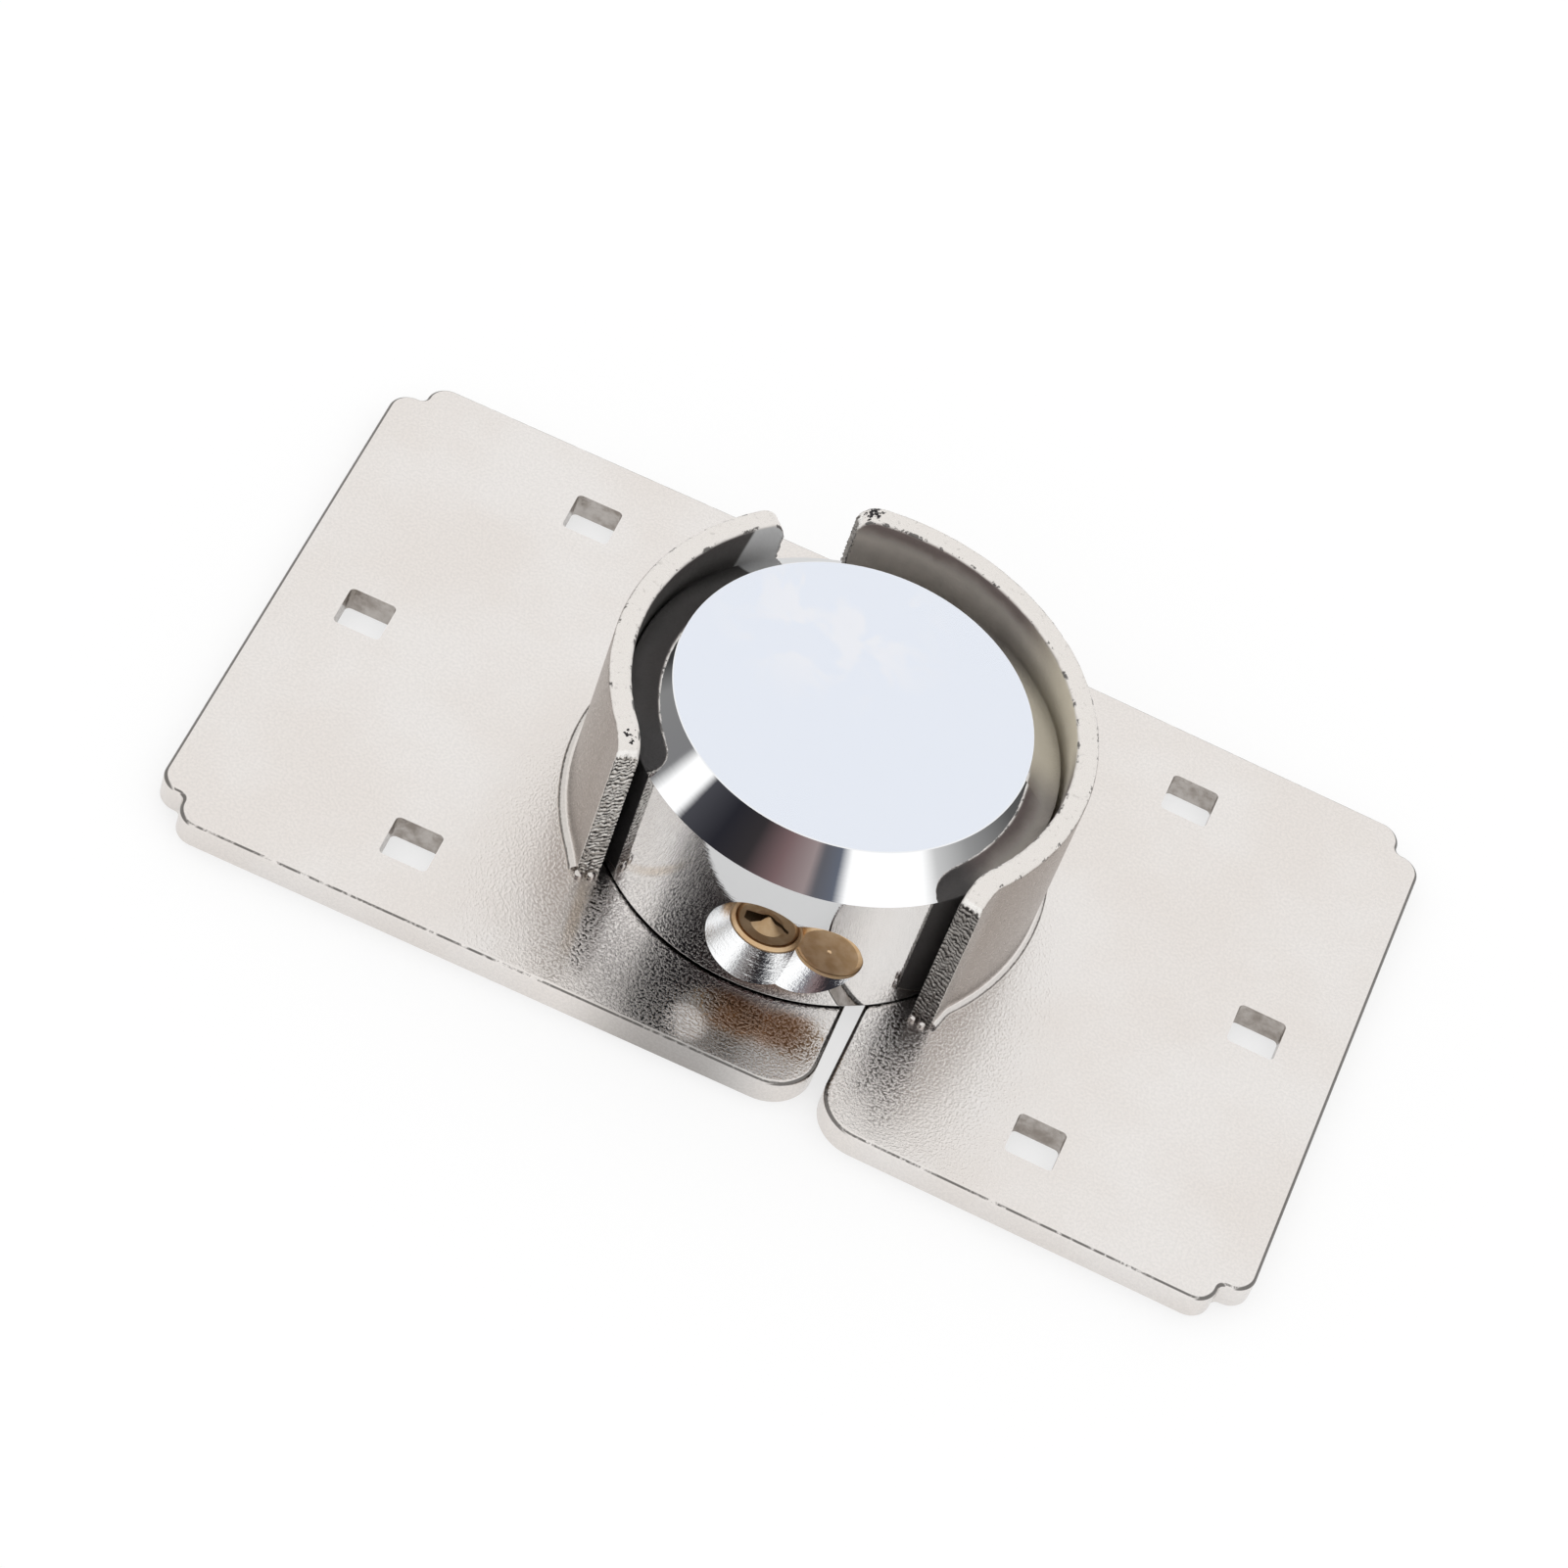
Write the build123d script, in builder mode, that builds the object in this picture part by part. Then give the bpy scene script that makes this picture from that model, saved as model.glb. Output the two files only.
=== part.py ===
"""Two-piece hasp with a bevelled round padlock, in millimetres.

The padlock's axis is the Z axis and the underside of the two plates is z = 0.
+X runs along the plates towards the shorter half, and the keyhole faces -Y.
"""
import os
from math import acos, atan, cos, degrees, pi, radians, sin, sqrt, tan

from build123d import *

os.makedirs("parts", exist_ok=True)

# Hasp plates, pressed from one thickness of steel
plate_thickness = 5.0
plate_width = 112.5
left_plate_length = 116.2
right_plate_length = 75.7
left_plate_end = 18.4
left_plate_mid_y = 4.2
plate_gap = 3.7
right_plate_mid_y = 1.7
right_plate_turn = -1.5
inner_corner_radius = 8.0
corner_notch = 5.2
corner_round = 3.8
notch_round = 1.3
plate_edge_round = 0.8

# Square holes for carriage bolts
hole_side = 8.5
hole_corner_radius = 0.9
outer_hole_inset = 15.3
inner_hole_inset = 41.2
inner_hole_spacing = 82.6

# Tongue of the right plate, in a notch of the left one
tongue_width = 22.0
tongue_side_clearance = 1.0
tongue_tip_clearance = 0.5

# Padlock body
padlock_diameter = 73.0
padlock_height = 33.5
padlock_bevel = 6.3
base_edge_round = 0.6
seat_clearance = 0.3

# Shrouds, bent from flat bar
bar_thickness = 3.8
shroud_height = 33.5
bar_edge_round = 0.7
bar_end_round = 3.6
left_bend_radius = 42.75
left_bend_centre = (3.95, 0.9)
left_back_angle = 131.5
left_front_angle = 214.0
left_lip_turn = 5.0
left_lip_length = 4.5
right_bend_radius = 41.4
right_bend_centre = (-2.3, 1.2)
right_back_angle = 105.0
right_front_angle = -33.0
right_lip_turn = 20.0
right_lip_length = 3.6
lip_bend_radius = 8.0
overhang_clearance = 0.6
overhang_margin = 2.0
weld_leg = 1.5
lug_weld_leg = 1.2
weld_crown = 0.35

# Lock core, a figure-eight brass bar
core_axis_x = 1.7
core_axis_height = 11.4
core_face_depth = 4.6
core_length = 19.9
core_ring_radius = 6.25
core_lobe_radius = 5.75
core_lobe_offset = 10.95
core_fit = 0.05
ring_cone_spread = 0.72
lobe_cone_spread = 1.0
ring_mouth_bevel = 0.5
lobe_base_recess = 0.7
lobe_bevel_height = 0.4
lobe_bevel_width = 0.8
lobe_pip_radius = 0.45

# Plug, pins and springs
plug_radius = 5.0
plug_head_radius = 5.4
plug_head_length = 2.0
plug_head_bevel = 0.6
plug_fit = 0.04
plug_face_recess = 0.4
dimple_radius = 2.9
dimple_depth = 1.5
tail_radius = 2.5
spindle_radius = 1.5
pin_count = 5
pin_pitch = 3.2
first_pin_depth = 4.4
pin_radius = 1.35
pin_fit = 0.05
key_pin_lengths = (2.6, 3.4, 2.9, 3.7, 3.1)
key_pin_bevel = 0.55
driver_pin_length = 3.2
shear_clearance = 0.06
spring_wire = 0.4
spring_turns = 5
cap_thickness = 1.4
cap_sink = 0.4

# Drive: pinion on the plug's tail, rack on the bolt
tooth_count = 8
tooth_module = 0.8
pressure_angle = 30.0
tooth_addendum = 0.6
tooth_dedendum = 0.95
tooth_backlash = 0.22
pinion_width = 4.6
rack_width = 4.2
rack_backing = 3.4
clip_thickness = 0.7
clip_radius = 4.3
clip_groove_depth = 0.5
drive_side_gap = 0.25

# Locking bolt
bolt_radius = 5.0
bolt_length = 24.2
bolt_home_x = 6.6
bolt_y = 8.0
bolt_fit = 0.06
bolt_nose_bevel = 1.2
socket_depth = 7.7
arm_thickness = 3.0
spigot_radius = 2.8
keeper_head_radius = 4.0
keeper_head_thickness = 0.9

# Eyed lugs on the hasp and the pocket that takes them
lug_thickness = 4.0
lug_half_gap = 0.75
lug_half_width = 9.0
eye_clearance = 0.8
pocket_side_clearance = 1.5
pocket_front_clearance = 1.5
pocket_back_clearance = 5.2
pocket_top_clearance = 1.6

# Base cover and its screws
cover_radius = 33.4
cover_thickness = 3.0
cover_fit = 0.1
saddle_lap = 0.65
cavity_clearance = 0.4
screw_circle_radius = 28.5
screw_angles = (45.0, 135.0, 225.0, 325.0)
screw_radius = 1.5
screw_head_radius = 2.8
screw_head_depth = 1.6
screw_length = 9.0
screw_recess_radius = 0.9
core_screw_radius = 2.0
core_screw_depth = 14.0
core_screw_bite = 1.2
core_screw_socket = 2.0

# Levels and faces that follow from the sizes above
padlock_radius = padlock_diameter / 2
base_z = plate_thickness + seat_clearance
cover_top_z = base_z + cover_thickness
axis_z = base_z + core_axis_height
core_front_y = -(padlock_radius - core_face_depth)
core_back_y = core_front_y + core_length
lobe_axis_x = core_axis_x + core_lobe_offset
plug_face_y = core_front_y + plug_face_recess
pinion_radius = tooth_module * tooth_count / 2
tooth_pitch = pi * tooth_module
bolt_stroke = tooth_pitch * tooth_count
clip_front_y = core_back_y + drive_side_gap
pinion_front_y = clip_front_y + clip_thickness + drive_side_gap
pinion_back_y = pinion_front_y + pinion_width
rack_front_y = pinion_front_y + (pinion_width - rack_width) / 2
rack_back_y = rack_front_y + rack_width
drive_back_y = pinion_back_y + cavity_clearance
rack_pitch_z = axis_z + pinion_radius
rack_top_z = rack_pitch_z + tooth_dedendum + rack_backing
bolt_end_x = bolt_home_x + bolt_length
arm_x = bolt_end_x - arm_thickness
lug_front_y = bolt_y - lug_half_width
lug_outer_x = lug_half_gap + lug_thickness
pocket_half_width = lug_outer_x + pocket_side_clearance
pocket_front_y = lug_front_y - pocket_front_clearance
pocket_back_y = bolt_y + lug_half_width + pocket_back_clearance
pocket_top_z = axis_z + lug_half_width + pocket_top_clearance
right_edge_x = left_plate_end + plate_gap
left_outer_x = left_plate_end - left_plate_length


def right_frame(height=0.0):
    """Plane of the right plate, with its origin at the middle of the inner edge."""
    turn = radians(right_plate_turn)
    return Plane(
        origin=(right_edge_x, right_plate_mid_y, height),
        x_dir=(cos(turn), sin(turn), 0),
        z_dir=(0, 0, 1),
    )


def hole_places(outer_x, inwards, mid_y):
    """Centres of a plate's three holes, measured from its outer edge."""
    near_x = outer_x + inwards * outer_hole_inset
    far_x = outer_x + inwards * inner_hole_inset
    half = inner_hole_spacing / 2
    return [(near_x, mid_y), (far_x, mid_y - half), (far_x, mid_y + half)]


def at_x(sketch, x):
    """Corners of a sketch that lie on one line across it."""
    return [v for v in sketch.vertices() if abs(v.X - x) < 0.01]


def plate_outline(inner_x, outer_x, mid_y):
    """Plate with plain rounds on the inner corners and notched outer ones."""
    side = 1 if outer_x > inner_x else -1
    notch_x = outer_x - side * corner_notch
    half = plate_width / 2
    with BuildSketch() as outline:
        with Locations(((inner_x + outer_x) / 2, mid_y)):
            Rectangle(abs(outer_x - inner_x), plate_width)
        with Locations((outer_x, mid_y - half), (outer_x, mid_y + half)):
            Rectangle(2 * corner_notch, 2 * corner_notch, mode=Mode.SUBTRACT)
        fillet(at_x(outline, inner_x), inner_corner_radius)
        fillet(at_x(outline, outer_x), corner_round)
        ends = at_x(outline, notch_x)
        fillet([v for v in ends if abs(v.Y - mid_y) > half - 0.01], corner_round)
        ends = at_x(outline, notch_x)
        fillet([v for v in ends if abs(v.Y - mid_y) < half - corner_notch + 0.01], notch_round)
    return outline.sketch


def square_holes(places):
    with BuildSketch() as holes:
        with Locations(*places):
            RectangleRounded(hole_side, hole_side, hole_corner_radius)
    return holes.sketch


tongue_y = bolt_y
tongue_tip_x = lug_half_gap

with BuildPart() as left_plate:
    with BuildSketch():
        add(plate_outline(left_plate_end, left_outer_x, left_plate_mid_y))
    extrude(amount=plate_thickness)
    rim = left_plate.faces().sort_by(Axis.Z)[-1].outer_wire().edges()
    fillet(rim, plate_edge_round)
    notch_start = tongue_tip_x - tongue_tip_clearance
    with BuildSketch():
        with Locations(((notch_start + left_plate_end + 1) / 2, tongue_y)):
            Rectangle(
                left_plate_end + 1 - notch_start,
                tongue_width + 2 * tongue_side_clearance,
            )
    extrude(amount=plate_thickness, mode=Mode.SUBTRACT)
    with BuildSketch():
        add(square_holes(hole_places(left_outer_x, 1, left_plate_mid_y)))
    extrude(amount=plate_thickness, mode=Mode.SUBTRACT)
left_plate.part.label = "left_plate"
export_step(left_plate.part, "parts/left_plate.step")

with BuildPart() as right_plate:
    with BuildSketch(right_frame()):
        add(plate_outline(0, right_plate_length, 0))
    extrude(amount=plate_thickness)
    rim = right_plate.faces().sort_by(Axis.Z)[-1].outer_wire().edges()
    fillet(rim, plate_edge_round)
    with BuildSketch(right_frame()):
        add(square_holes(hole_places(right_plate_length, -1, 0)))
    extrude(amount=plate_thickness, mode=Mode.SUBTRACT)
    with BuildSketch():
        with Locations(((tongue_tip_x + right_edge_x + inner_corner_radius) / 2, tongue_y)):
            Rectangle(right_edge_x + inner_corner_radius - tongue_tip_x, tongue_width)
    extrude(amount=plate_thickness)
right_plate.part.label = "right_plate"
export_step(right_plate.part, "parts/right_plate.step")


def arc_point(centre, radius, angle):
    turn = radians(angle)
    return (centre[0] + radius * cos(turn), centre[1] + radius * sin(turn))


def shroud_path(centre, radius, back_angle, front_angle, lip_turn, lip_length):
    """Plan of a shroud's centre line: the long bend, then the lip that turns back out."""
    sense = 1 if front_angle > back_angle else -1
    bend_end = arc_point(centre, radius, front_angle)
    lip_centre = arc_point(bend_end, lip_bend_radius, front_angle)
    lip_start = front_angle + 180
    lip_end = lip_start - sense * lip_turn
    with BuildLine() as path:
        CenterArc(centre, radius, back_angle, front_angle - back_angle)
        CenterArc(lip_centre, lip_bend_radius, lip_start, -sense * lip_turn)
        start = arc_point(lip_centre, lip_bend_radius, lip_end)
        heading = lip_end - sense * 90
        Line(start, arc_point(start, lip_length, heading))
    return path.line


def bent_bar(path, top_z):
    """Flat bar on edge, bent to a plan path, with rounded end corners and eased edges."""
    with BuildPart() as bar:
        with BuildSketch(Plane.XY.offset(plate_thickness)):
            trace(path, bar_thickness)
        extrude(amount=top_z - plate_thickness)
        top_edges = bar.faces().sort_by(Axis.Z)[-1].edges()
        ends = top_edges.filter_by(GeomType.LINE).filter_by(
            lambda e: abs(e.length - bar_thickness) < 0.01
        )
        fillet(ends, bar_end_round)
        rim = bar.faces().filter_by(Axis.Z).sort_by(Axis.Z)[-1].outer_wire().edges()
        long_edges = [e for e in rim if e.length > bar_thickness + 0.01 or e.geom_type != GeomType.LINE]
        fillet(long_edges, bar_edge_round)
    return bar.part


def weld_bead(path, back_angle):
    """Fillet weld with a slightly crowned face, along the outer foot of a shroud."""
    turn = radians(back_angle)
    section_plane = Plane(
        origin=path @ 0 + Vector(0, 0, plate_thickness),
        x_dir=(cos(turn), sin(turn), 0),
        z_dir=(sin(turn), -cos(turn), 0),
    )
    with BuildPart() as bead:
        with BuildSketch(section_plane):
            with BuildLine():
                half_bar = bar_thickness / 2
                middle = weld_leg / 2 + weld_crown / sqrt(2)
                Line((half_bar, 0), (half_bar + weld_leg, 0))
                ThreePointArc(
                    (half_bar + weld_leg, 0),
                    (half_bar + middle, middle),
                    (half_bar, weld_leg),
                )
                Line((half_bar, weld_leg), (half_bar, 0))
            make_face()
        sweep(path=path)
    return bead.part


shroud_top_z = plate_thickness + shroud_height
left_path = shroud_path(
    left_bend_centre,
    left_bend_radius,
    left_back_angle,
    left_front_angle,
    left_lip_turn,
    left_lip_length,
)
right_path = shroud_path(
    right_bend_centre,
    right_bend_radius,
    right_back_angle,
    right_front_angle,
    right_lip_turn,
    right_lip_length,
)

with BuildPart() as left_shroud:
    add(bent_bar(left_path, shroud_top_z))
left_shroud.part.label = "left_shroud"
export_step(left_shroud.part, "parts/left_shroud.step")

# The right bar is cut away under its overhang, so that it clears the left plate.
right_outer_radius = right_bend_radius + bar_thickness / 2
overhang_edge_x = right_edge_x + overhang_margin
overhang_reach = overhang_edge_x - right_bend_centre[0]
overhang_angle = degrees(acos(overhang_reach / right_outer_radius))
with BuildPart() as right_shroud:
    add(bent_bar(right_path, shroud_top_z))
    with BuildSketch(Plane.XY.offset(plate_thickness)):
        with Locations((overhang_edge_x - right_outer_radius, right_outer_radius)):
            Rectangle(2 * right_outer_radius, 2 * right_outer_radius)
    extrude(amount=overhang_clearance, mode=Mode.SUBTRACT)
right_shroud.part.label = "right_shroud"
export_step(right_shroud.part, "parts/right_shroud.step")

with BuildPart() as left_shroud_weld:
    add(weld_bead(left_path, left_back_angle))
left_shroud_weld.part.label = "left_shroud_weld"
export_step(left_shroud_weld.part, "parts/left_shroud_weld.step")

# The right weld starts where the overhang ends.
right_weld_path = shroud_path(
    right_bend_centre,
    right_bend_radius,
    overhang_angle,
    right_front_angle,
    right_lip_turn,
    right_lip_length,
)
with BuildPart() as right_shroud_weld:
    add(weld_bead(right_weld_path, overhang_angle))
right_shroud_weld.part.label = "right_shroud_weld"
export_step(right_shroud_weld.part, "parts/right_shroud_weld.step")


def eyed_lug(side):
    """Upright plate with a round head, and an eye for the bolt, left (-1) or right (+1)."""
    with BuildPart() as lug:
        with BuildSketch(Plane.YZ.offset(side * lug_half_gap)):
            with Locations((bolt_y, axis_z)):
                Circle(lug_half_width)
            with Locations((bolt_y, (plate_thickness + axis_z) / 2)):
                Rectangle(2 * lug_half_width, axis_z - plate_thickness)
            with Locations((bolt_y, axis_z)):
                Circle(bolt_radius + eye_clearance, mode=Mode.SUBTRACT)
        extrude(amount=side * lug_thickness)
    return lug.part


def lug_weld(side):
    """Fillet weld along the outer foot of a lug."""
    with BuildPart() as bead:
        with BuildSketch(Plane.XZ.offset(-lug_front_y)):
            with BuildLine():
                foot = (side * lug_outer_x, plate_thickness)
                toe = (side * (lug_outer_x + lug_weld_leg), plate_thickness)
                top = (side * lug_outer_x, plate_thickness + lug_weld_leg)
                middle = lug_weld_leg / 2 + weld_crown / sqrt(2)
                crown = (side * (lug_outer_x + middle), plate_thickness + middle)
                Line(foot, toe)
                ThreePointArc(toe, crown, top)
                Line(top, foot)
            make_face()
        extrude(amount=-2 * lug_half_width)
    return bead.part


with BuildPart() as left_lug:
    add(eyed_lug(-1))
left_lug.part.label = "left_lug"
export_step(left_lug.part, "parts/left_lug.step")

with BuildPart() as right_lug:
    add(eyed_lug(1))
right_lug.part.label = "right_lug"
export_step(right_lug.part, "parts/right_lug.step")

with BuildPart() as left_lug_weld:
    add(lug_weld(-1))
left_lug_weld.part.label = "left_lug_weld"
export_step(left_lug_weld.part, "parts/left_lug_weld.step")

with BuildPart() as right_lug_weld:
    add(lug_weld(1))
right_lug_weld.part.label = "right_lug_weld"
export_step(right_lug_weld.part, "parts/right_lug_weld.step")


def figure_eight(growth):
    """Section of the core: the ring round the plug, and the lobe that holds the pins."""
    with BuildSketch() as section:
        with Locations((core_axis_x, axis_z)):
            Circle(core_ring_radius + growth)
        with Locations((lobe_axis_x, axis_z)):
            Circle(core_lobe_radius + growth)
    return section.sketch


def drive_arm(growth):
    """Plate that joins the bolt to the rack, seen along X."""
    rack_mid_y = (rack_front_y + rack_back_y) / 2
    rack_mid_z = (rack_pitch_z + tooth_dedendum + rack_top_z) / 2
    with BuildSketch() as outline:
        with Locations((bolt_y, axis_z)):
            Circle(bolt_radius + min(growth, bolt_fit))
        with Locations((rack_mid_y, rack_mid_z)):
            Rectangle(rack_width + 2 * growth, rack_backing + 2 * growth)
        make_hull()
    return outline.sketch


def down_slot(low_y, high_y, top_z):
    """Rectangle from the cover's inner face up to a level, in a plane along Y and Z."""
    with BuildSketch() as slot:
        with Locations(((low_y + high_y) / 2, (cover_top_z + top_z) / 2)):
            Rectangle(high_y - low_y, top_z - cover_top_z)
    return slot.sketch


cone_reach = core_face_depth + 2
rack_left_x = core_axis_x - 1.5 * tooth_pitch
drive_left_x = rack_left_x - bolt_stroke - cavity_clearance
drive_right_x = bolt_end_x + cavity_clearance
arm_left_x = arm_x - bolt_stroke - cavity_clearance
drive_top_z = rack_top_z + cavity_clearance

with BuildPart() as lock_body:
    with Locations((0, 0, base_z)):
        Cylinder(padlock_radius, padlock_height, align=(Align.CENTER, Align.CENTER, Align.MIN))
    chamfer(lock_body.edges().filter_by(GeomType.CIRCLE).sort_by(Axis.Z)[-1], padlock_bevel)
    fillet(lock_body.edges().filter_by(GeomType.CIRCLE).sort_by(Axis.Z)[0], base_edge_round)
    # Keyhole: the core's bore, and a cone round each lobe of it
    with BuildSketch(Plane.XZ.offset(-core_back_y)):
        add(figure_eight(core_fit))
    extrude(amount=core_length + cone_reach, mode=Mode.SUBTRACT)
    cones = (
        (core_axis_x, core_ring_radius, ring_cone_spread),
        (lobe_axis_x, core_lobe_radius, lobe_cone_spread),
    )
    for centre_x, radius, spread in cones:
        with BuildSketch(Plane.XZ.offset(-core_front_y)):
            with Locations((centre_x, axis_z)):
                Circle(radius + core_fit)
        extrude(amount=cone_reach, taper=-degrees(atan(spread)), mode=Mode.SUBTRACT)
    # Recess for the base cover
    with BuildSketch(Plane.XY.offset(base_z)):
        Circle(cover_radius + cover_fit)
    extrude(amount=cover_thickness, mode=Mode.SUBTRACT)
    # Pocket for the lugs
    with BuildSketch(Plane.XY.offset(base_z)):
        with Locations((0, (pocket_front_y + pocket_back_y) / 2)):
            Rectangle(2 * pocket_half_width, pocket_back_y - pocket_front_y)
    extrude(amount=pocket_top_z - base_z, mode=Mode.SUBTRACT)
    # Room for the rack, the pinion and the circlip
    with BuildSketch(Plane.YZ.offset(drive_left_x)):
        add(down_slot(core_back_y, drive_back_y, drive_top_z))
    extrude(amount=drive_right_x - drive_left_x, mode=Mode.SUBTRACT)
    # Path of the arm, and the bolt's channel
    with BuildSketch(Plane.YZ.offset(arm_left_x)):
        add(drive_arm(cavity_clearance))
        add(down_slot(core_back_y, bolt_y, axis_z))
    extrude(amount=drive_right_x - arm_left_x, mode=Mode.SUBTRACT)
    with BuildSketch(Plane.YZ.offset(pocket_half_width - 1)):
        with Locations((bolt_y, axis_z)):
            Circle(bolt_radius + bolt_fit)
        reach = bolt_radius + bolt_fit
        add(down_slot(bolt_y - reach, bolt_y + reach, axis_z))
    extrude(amount=drive_right_x - pocket_half_width + 1, mode=Mode.SUBTRACT)
    with BuildSketch(Plane.YZ.offset(bolt_end_x)):
        with Locations((bolt_y, axis_z)):
            Circle(keeper_head_radius + cavity_clearance)
    extrude(amount=keeper_head_thickness + 2 * cavity_clearance, mode=Mode.SUBTRACT)
    # Socket for the bolt's nose, across the pocket
    with BuildSketch(Plane.YZ.offset(-pocket_half_width - socket_depth)):
        with Locations((bolt_y, axis_z)):
            Circle(bolt_radius + bolt_fit)
    extrude(amount=socket_depth + 1, mode=Mode.SUBTRACT)
    # Tapped holes, for the cover's screws and for the core's set screw
    with BuildSketch(Plane.XY.offset(cover_top_z)):
        for angle in screw_angles:
            with Locations(arc_point((0, 0), screw_circle_radius, angle)):
                Circle(screw_radius)
    extrude(amount=screw_length + cavity_clearance - cover_thickness, mode=Mode.SUBTRACT)
    with BuildSketch(Plane.XY.offset(cover_top_z)):
        with Locations((lobe_axis_x, core_front_y + core_screw_depth)):
            Circle(core_screw_radius)
    extrude(amount=axis_z - cover_top_z, mode=Mode.SUBTRACT)
lock_body.part.label = "lock_body"
export_step(lock_body.part, "parts/lock_body.step")

with BuildPart() as base_cover:
    with Locations((0, 0, base_z)):
        Cylinder(cover_radius, cover_thickness, align=(Align.CENTER, Align.CENTER, Align.MIN))
    # Saddle that carries the bolt from below
    saddle_left_x = bolt_home_x + bolt_nose_bevel + cavity_clearance
    saddle_right_x = arm_x - cavity_clearance
    saddle_top_z = axis_z - bolt_radius + saddle_lap
    with BuildSketch(Plane.YZ.offset(saddle_left_x)):
        half_width = bolt_radius - cavity_clearance
        add(down_slot(bolt_y - half_width, bolt_y + half_width, saddle_top_z))
        with Locations((bolt_y, axis_z)):
            Circle(bolt_radius + bolt_fit, mode=Mode.SUBTRACT)
    extrude(amount=saddle_right_x - saddle_left_x)
    with BuildSketch(Plane.XY.offset(base_z)):
        with Locations((0, (pocket_front_y + pocket_back_y) / 2)):
            Rectangle(2 * pocket_half_width, pocket_back_y - pocket_front_y)
    extrude(amount=cover_thickness, mode=Mode.SUBTRACT)
    for angle in screw_angles:
        spot = arc_point((0, 0), screw_circle_radius, angle)
        with Locations((spot[0], spot[1], base_z)):
            Cylinder(
                screw_radius + cover_fit,
                cover_thickness,
                align=(Align.CENTER, Align.CENTER, Align.MIN),
                mode=Mode.SUBTRACT,
            )
            Cone(
                screw_head_radius + cover_fit,
                screw_radius + cover_fit,
                screw_head_depth,
                align=(Align.CENTER, Align.CENTER, Align.MIN),
                mode=Mode.SUBTRACT,
            )
base_cover.part.label = "base_cover"
export_step(base_cover.part, "parts/base_cover.step")

with BuildPart() as cover_screws:
    for angle in screw_angles:
        spot = arc_point((0, 0), screw_circle_radius, angle)
        with Locations((spot[0], spot[1], base_z)):
            Cone(
                screw_head_radius,
                screw_radius,
                screw_head_depth,
                align=(Align.CENTER, Align.CENTER, Align.MIN),
            )
            Cylinder(
                screw_radius,
                screw_length,
                align=(Align.CENTER, Align.CENTER, Align.MIN),
            )
        with BuildSketch(Plane.XY.offset(base_z)):
            with Locations(spot):
                RegularPolygon(screw_recess_radius, 6)
        extrude(amount=screw_head_depth, mode=Mode.SUBTRACT)
cover_screws.part.label = "cover_screws"
export_step(cover_screws.part, "parts/cover_screws.step")

# Lock core. Its pins lie along X, in a row from the face to the back.
pin_depths = [first_pin_depth + pin_pitch * index for index in range(pin_count)]
chamber_end_x = lobe_axis_x + core_lobe_radius
plug_bore_radius = plug_radius + plug_fit
driver_start_x = core_axis_x + plug_bore_radius + shear_clearance
cap_end_x = chamber_end_x - cap_sink
cap_start_x = cap_end_x - cap_thickness
spring_start_x = driver_start_x + driver_pin_length

with BuildPart() as core_housing:
    with BuildSketch(Plane.XZ.offset(-core_back_y)):
        add(figure_eight(0))
    extrude(amount=core_length)
    # The lobe's front stands back from the ring and is turned to a bevelled face with a pip
    lobe_base_y = core_front_y + lobe_base_recess
    with BuildSketch(Plane.XZ.offset(-core_front_y)):
        with Locations((lobe_axis_x, axis_z)):
            Circle(core_lobe_radius)
        with Locations((core_axis_x, axis_z)):
            Circle(core_ring_radius, mode=Mode.SUBTRACT)
    extrude(amount=-lobe_base_recess, mode=Mode.SUBTRACT)
    with BuildSketch(Plane.XZ.offset(-lobe_base_y)):
        with Locations((lobe_axis_x, axis_z)):
            Circle(core_lobe_radius)
    extrude(amount=lobe_bevel_height, taper=degrees(atan(lobe_bevel_width / lobe_bevel_height)))
    with BuildSketch(Plane.XZ.offset(lobe_bevel_height - lobe_base_y)):
        with Locations((lobe_axis_x, axis_z)):
            Circle(lobe_pip_radius)
    extrude(amount=lobe_pip_radius / 2, taper=45)
    # Bore for the plug, a seat for its head and a countersunk mouth
    with BuildSketch(Plane.XZ.offset(-core_back_y)):
        with Locations((core_axis_x, axis_z)):
            Circle(plug_bore_radius)
    extrude(amount=core_length, mode=Mode.SUBTRACT)
    with BuildSketch(Plane.XZ.offset(-core_front_y)):
        with Locations((core_axis_x, axis_z)):
            Circle(plug_head_radius + plug_fit)
    head_seat = plug_face_recess + plug_head_length + plug_fit
    extrude(amount=-head_seat, mode=Mode.SUBTRACT)
    with BuildSketch(Plane.XZ.offset(-core_front_y)):
        with Locations((core_axis_x, axis_z)):
            Circle(plug_head_radius + plug_fit + ring_mouth_bevel)
    extrude(amount=-ring_mouth_bevel, taper=45, mode=Mode.SUBTRACT)
    for depth in pin_depths:
        with BuildSketch(Plane.YZ.offset(core_axis_x)):
            with Locations((core_front_y + depth, axis_z)):
                Circle(pin_radius + pin_fit)
        extrude(amount=chamber_end_x - core_axis_x, mode=Mode.SUBTRACT)
    with BuildSketch(Plane.XY.offset(axis_z - core_lobe_radius)):
        with Locations((lobe_axis_x, core_front_y + core_screw_depth)):
            Circle(core_screw_radius + pin_fit)
    extrude(amount=core_screw_bite + cavity_clearance, mode=Mode.SUBTRACT)
core_housing.part.label = "core_housing"
export_step(core_housing.part, "parts/core_housing.step")

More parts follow.
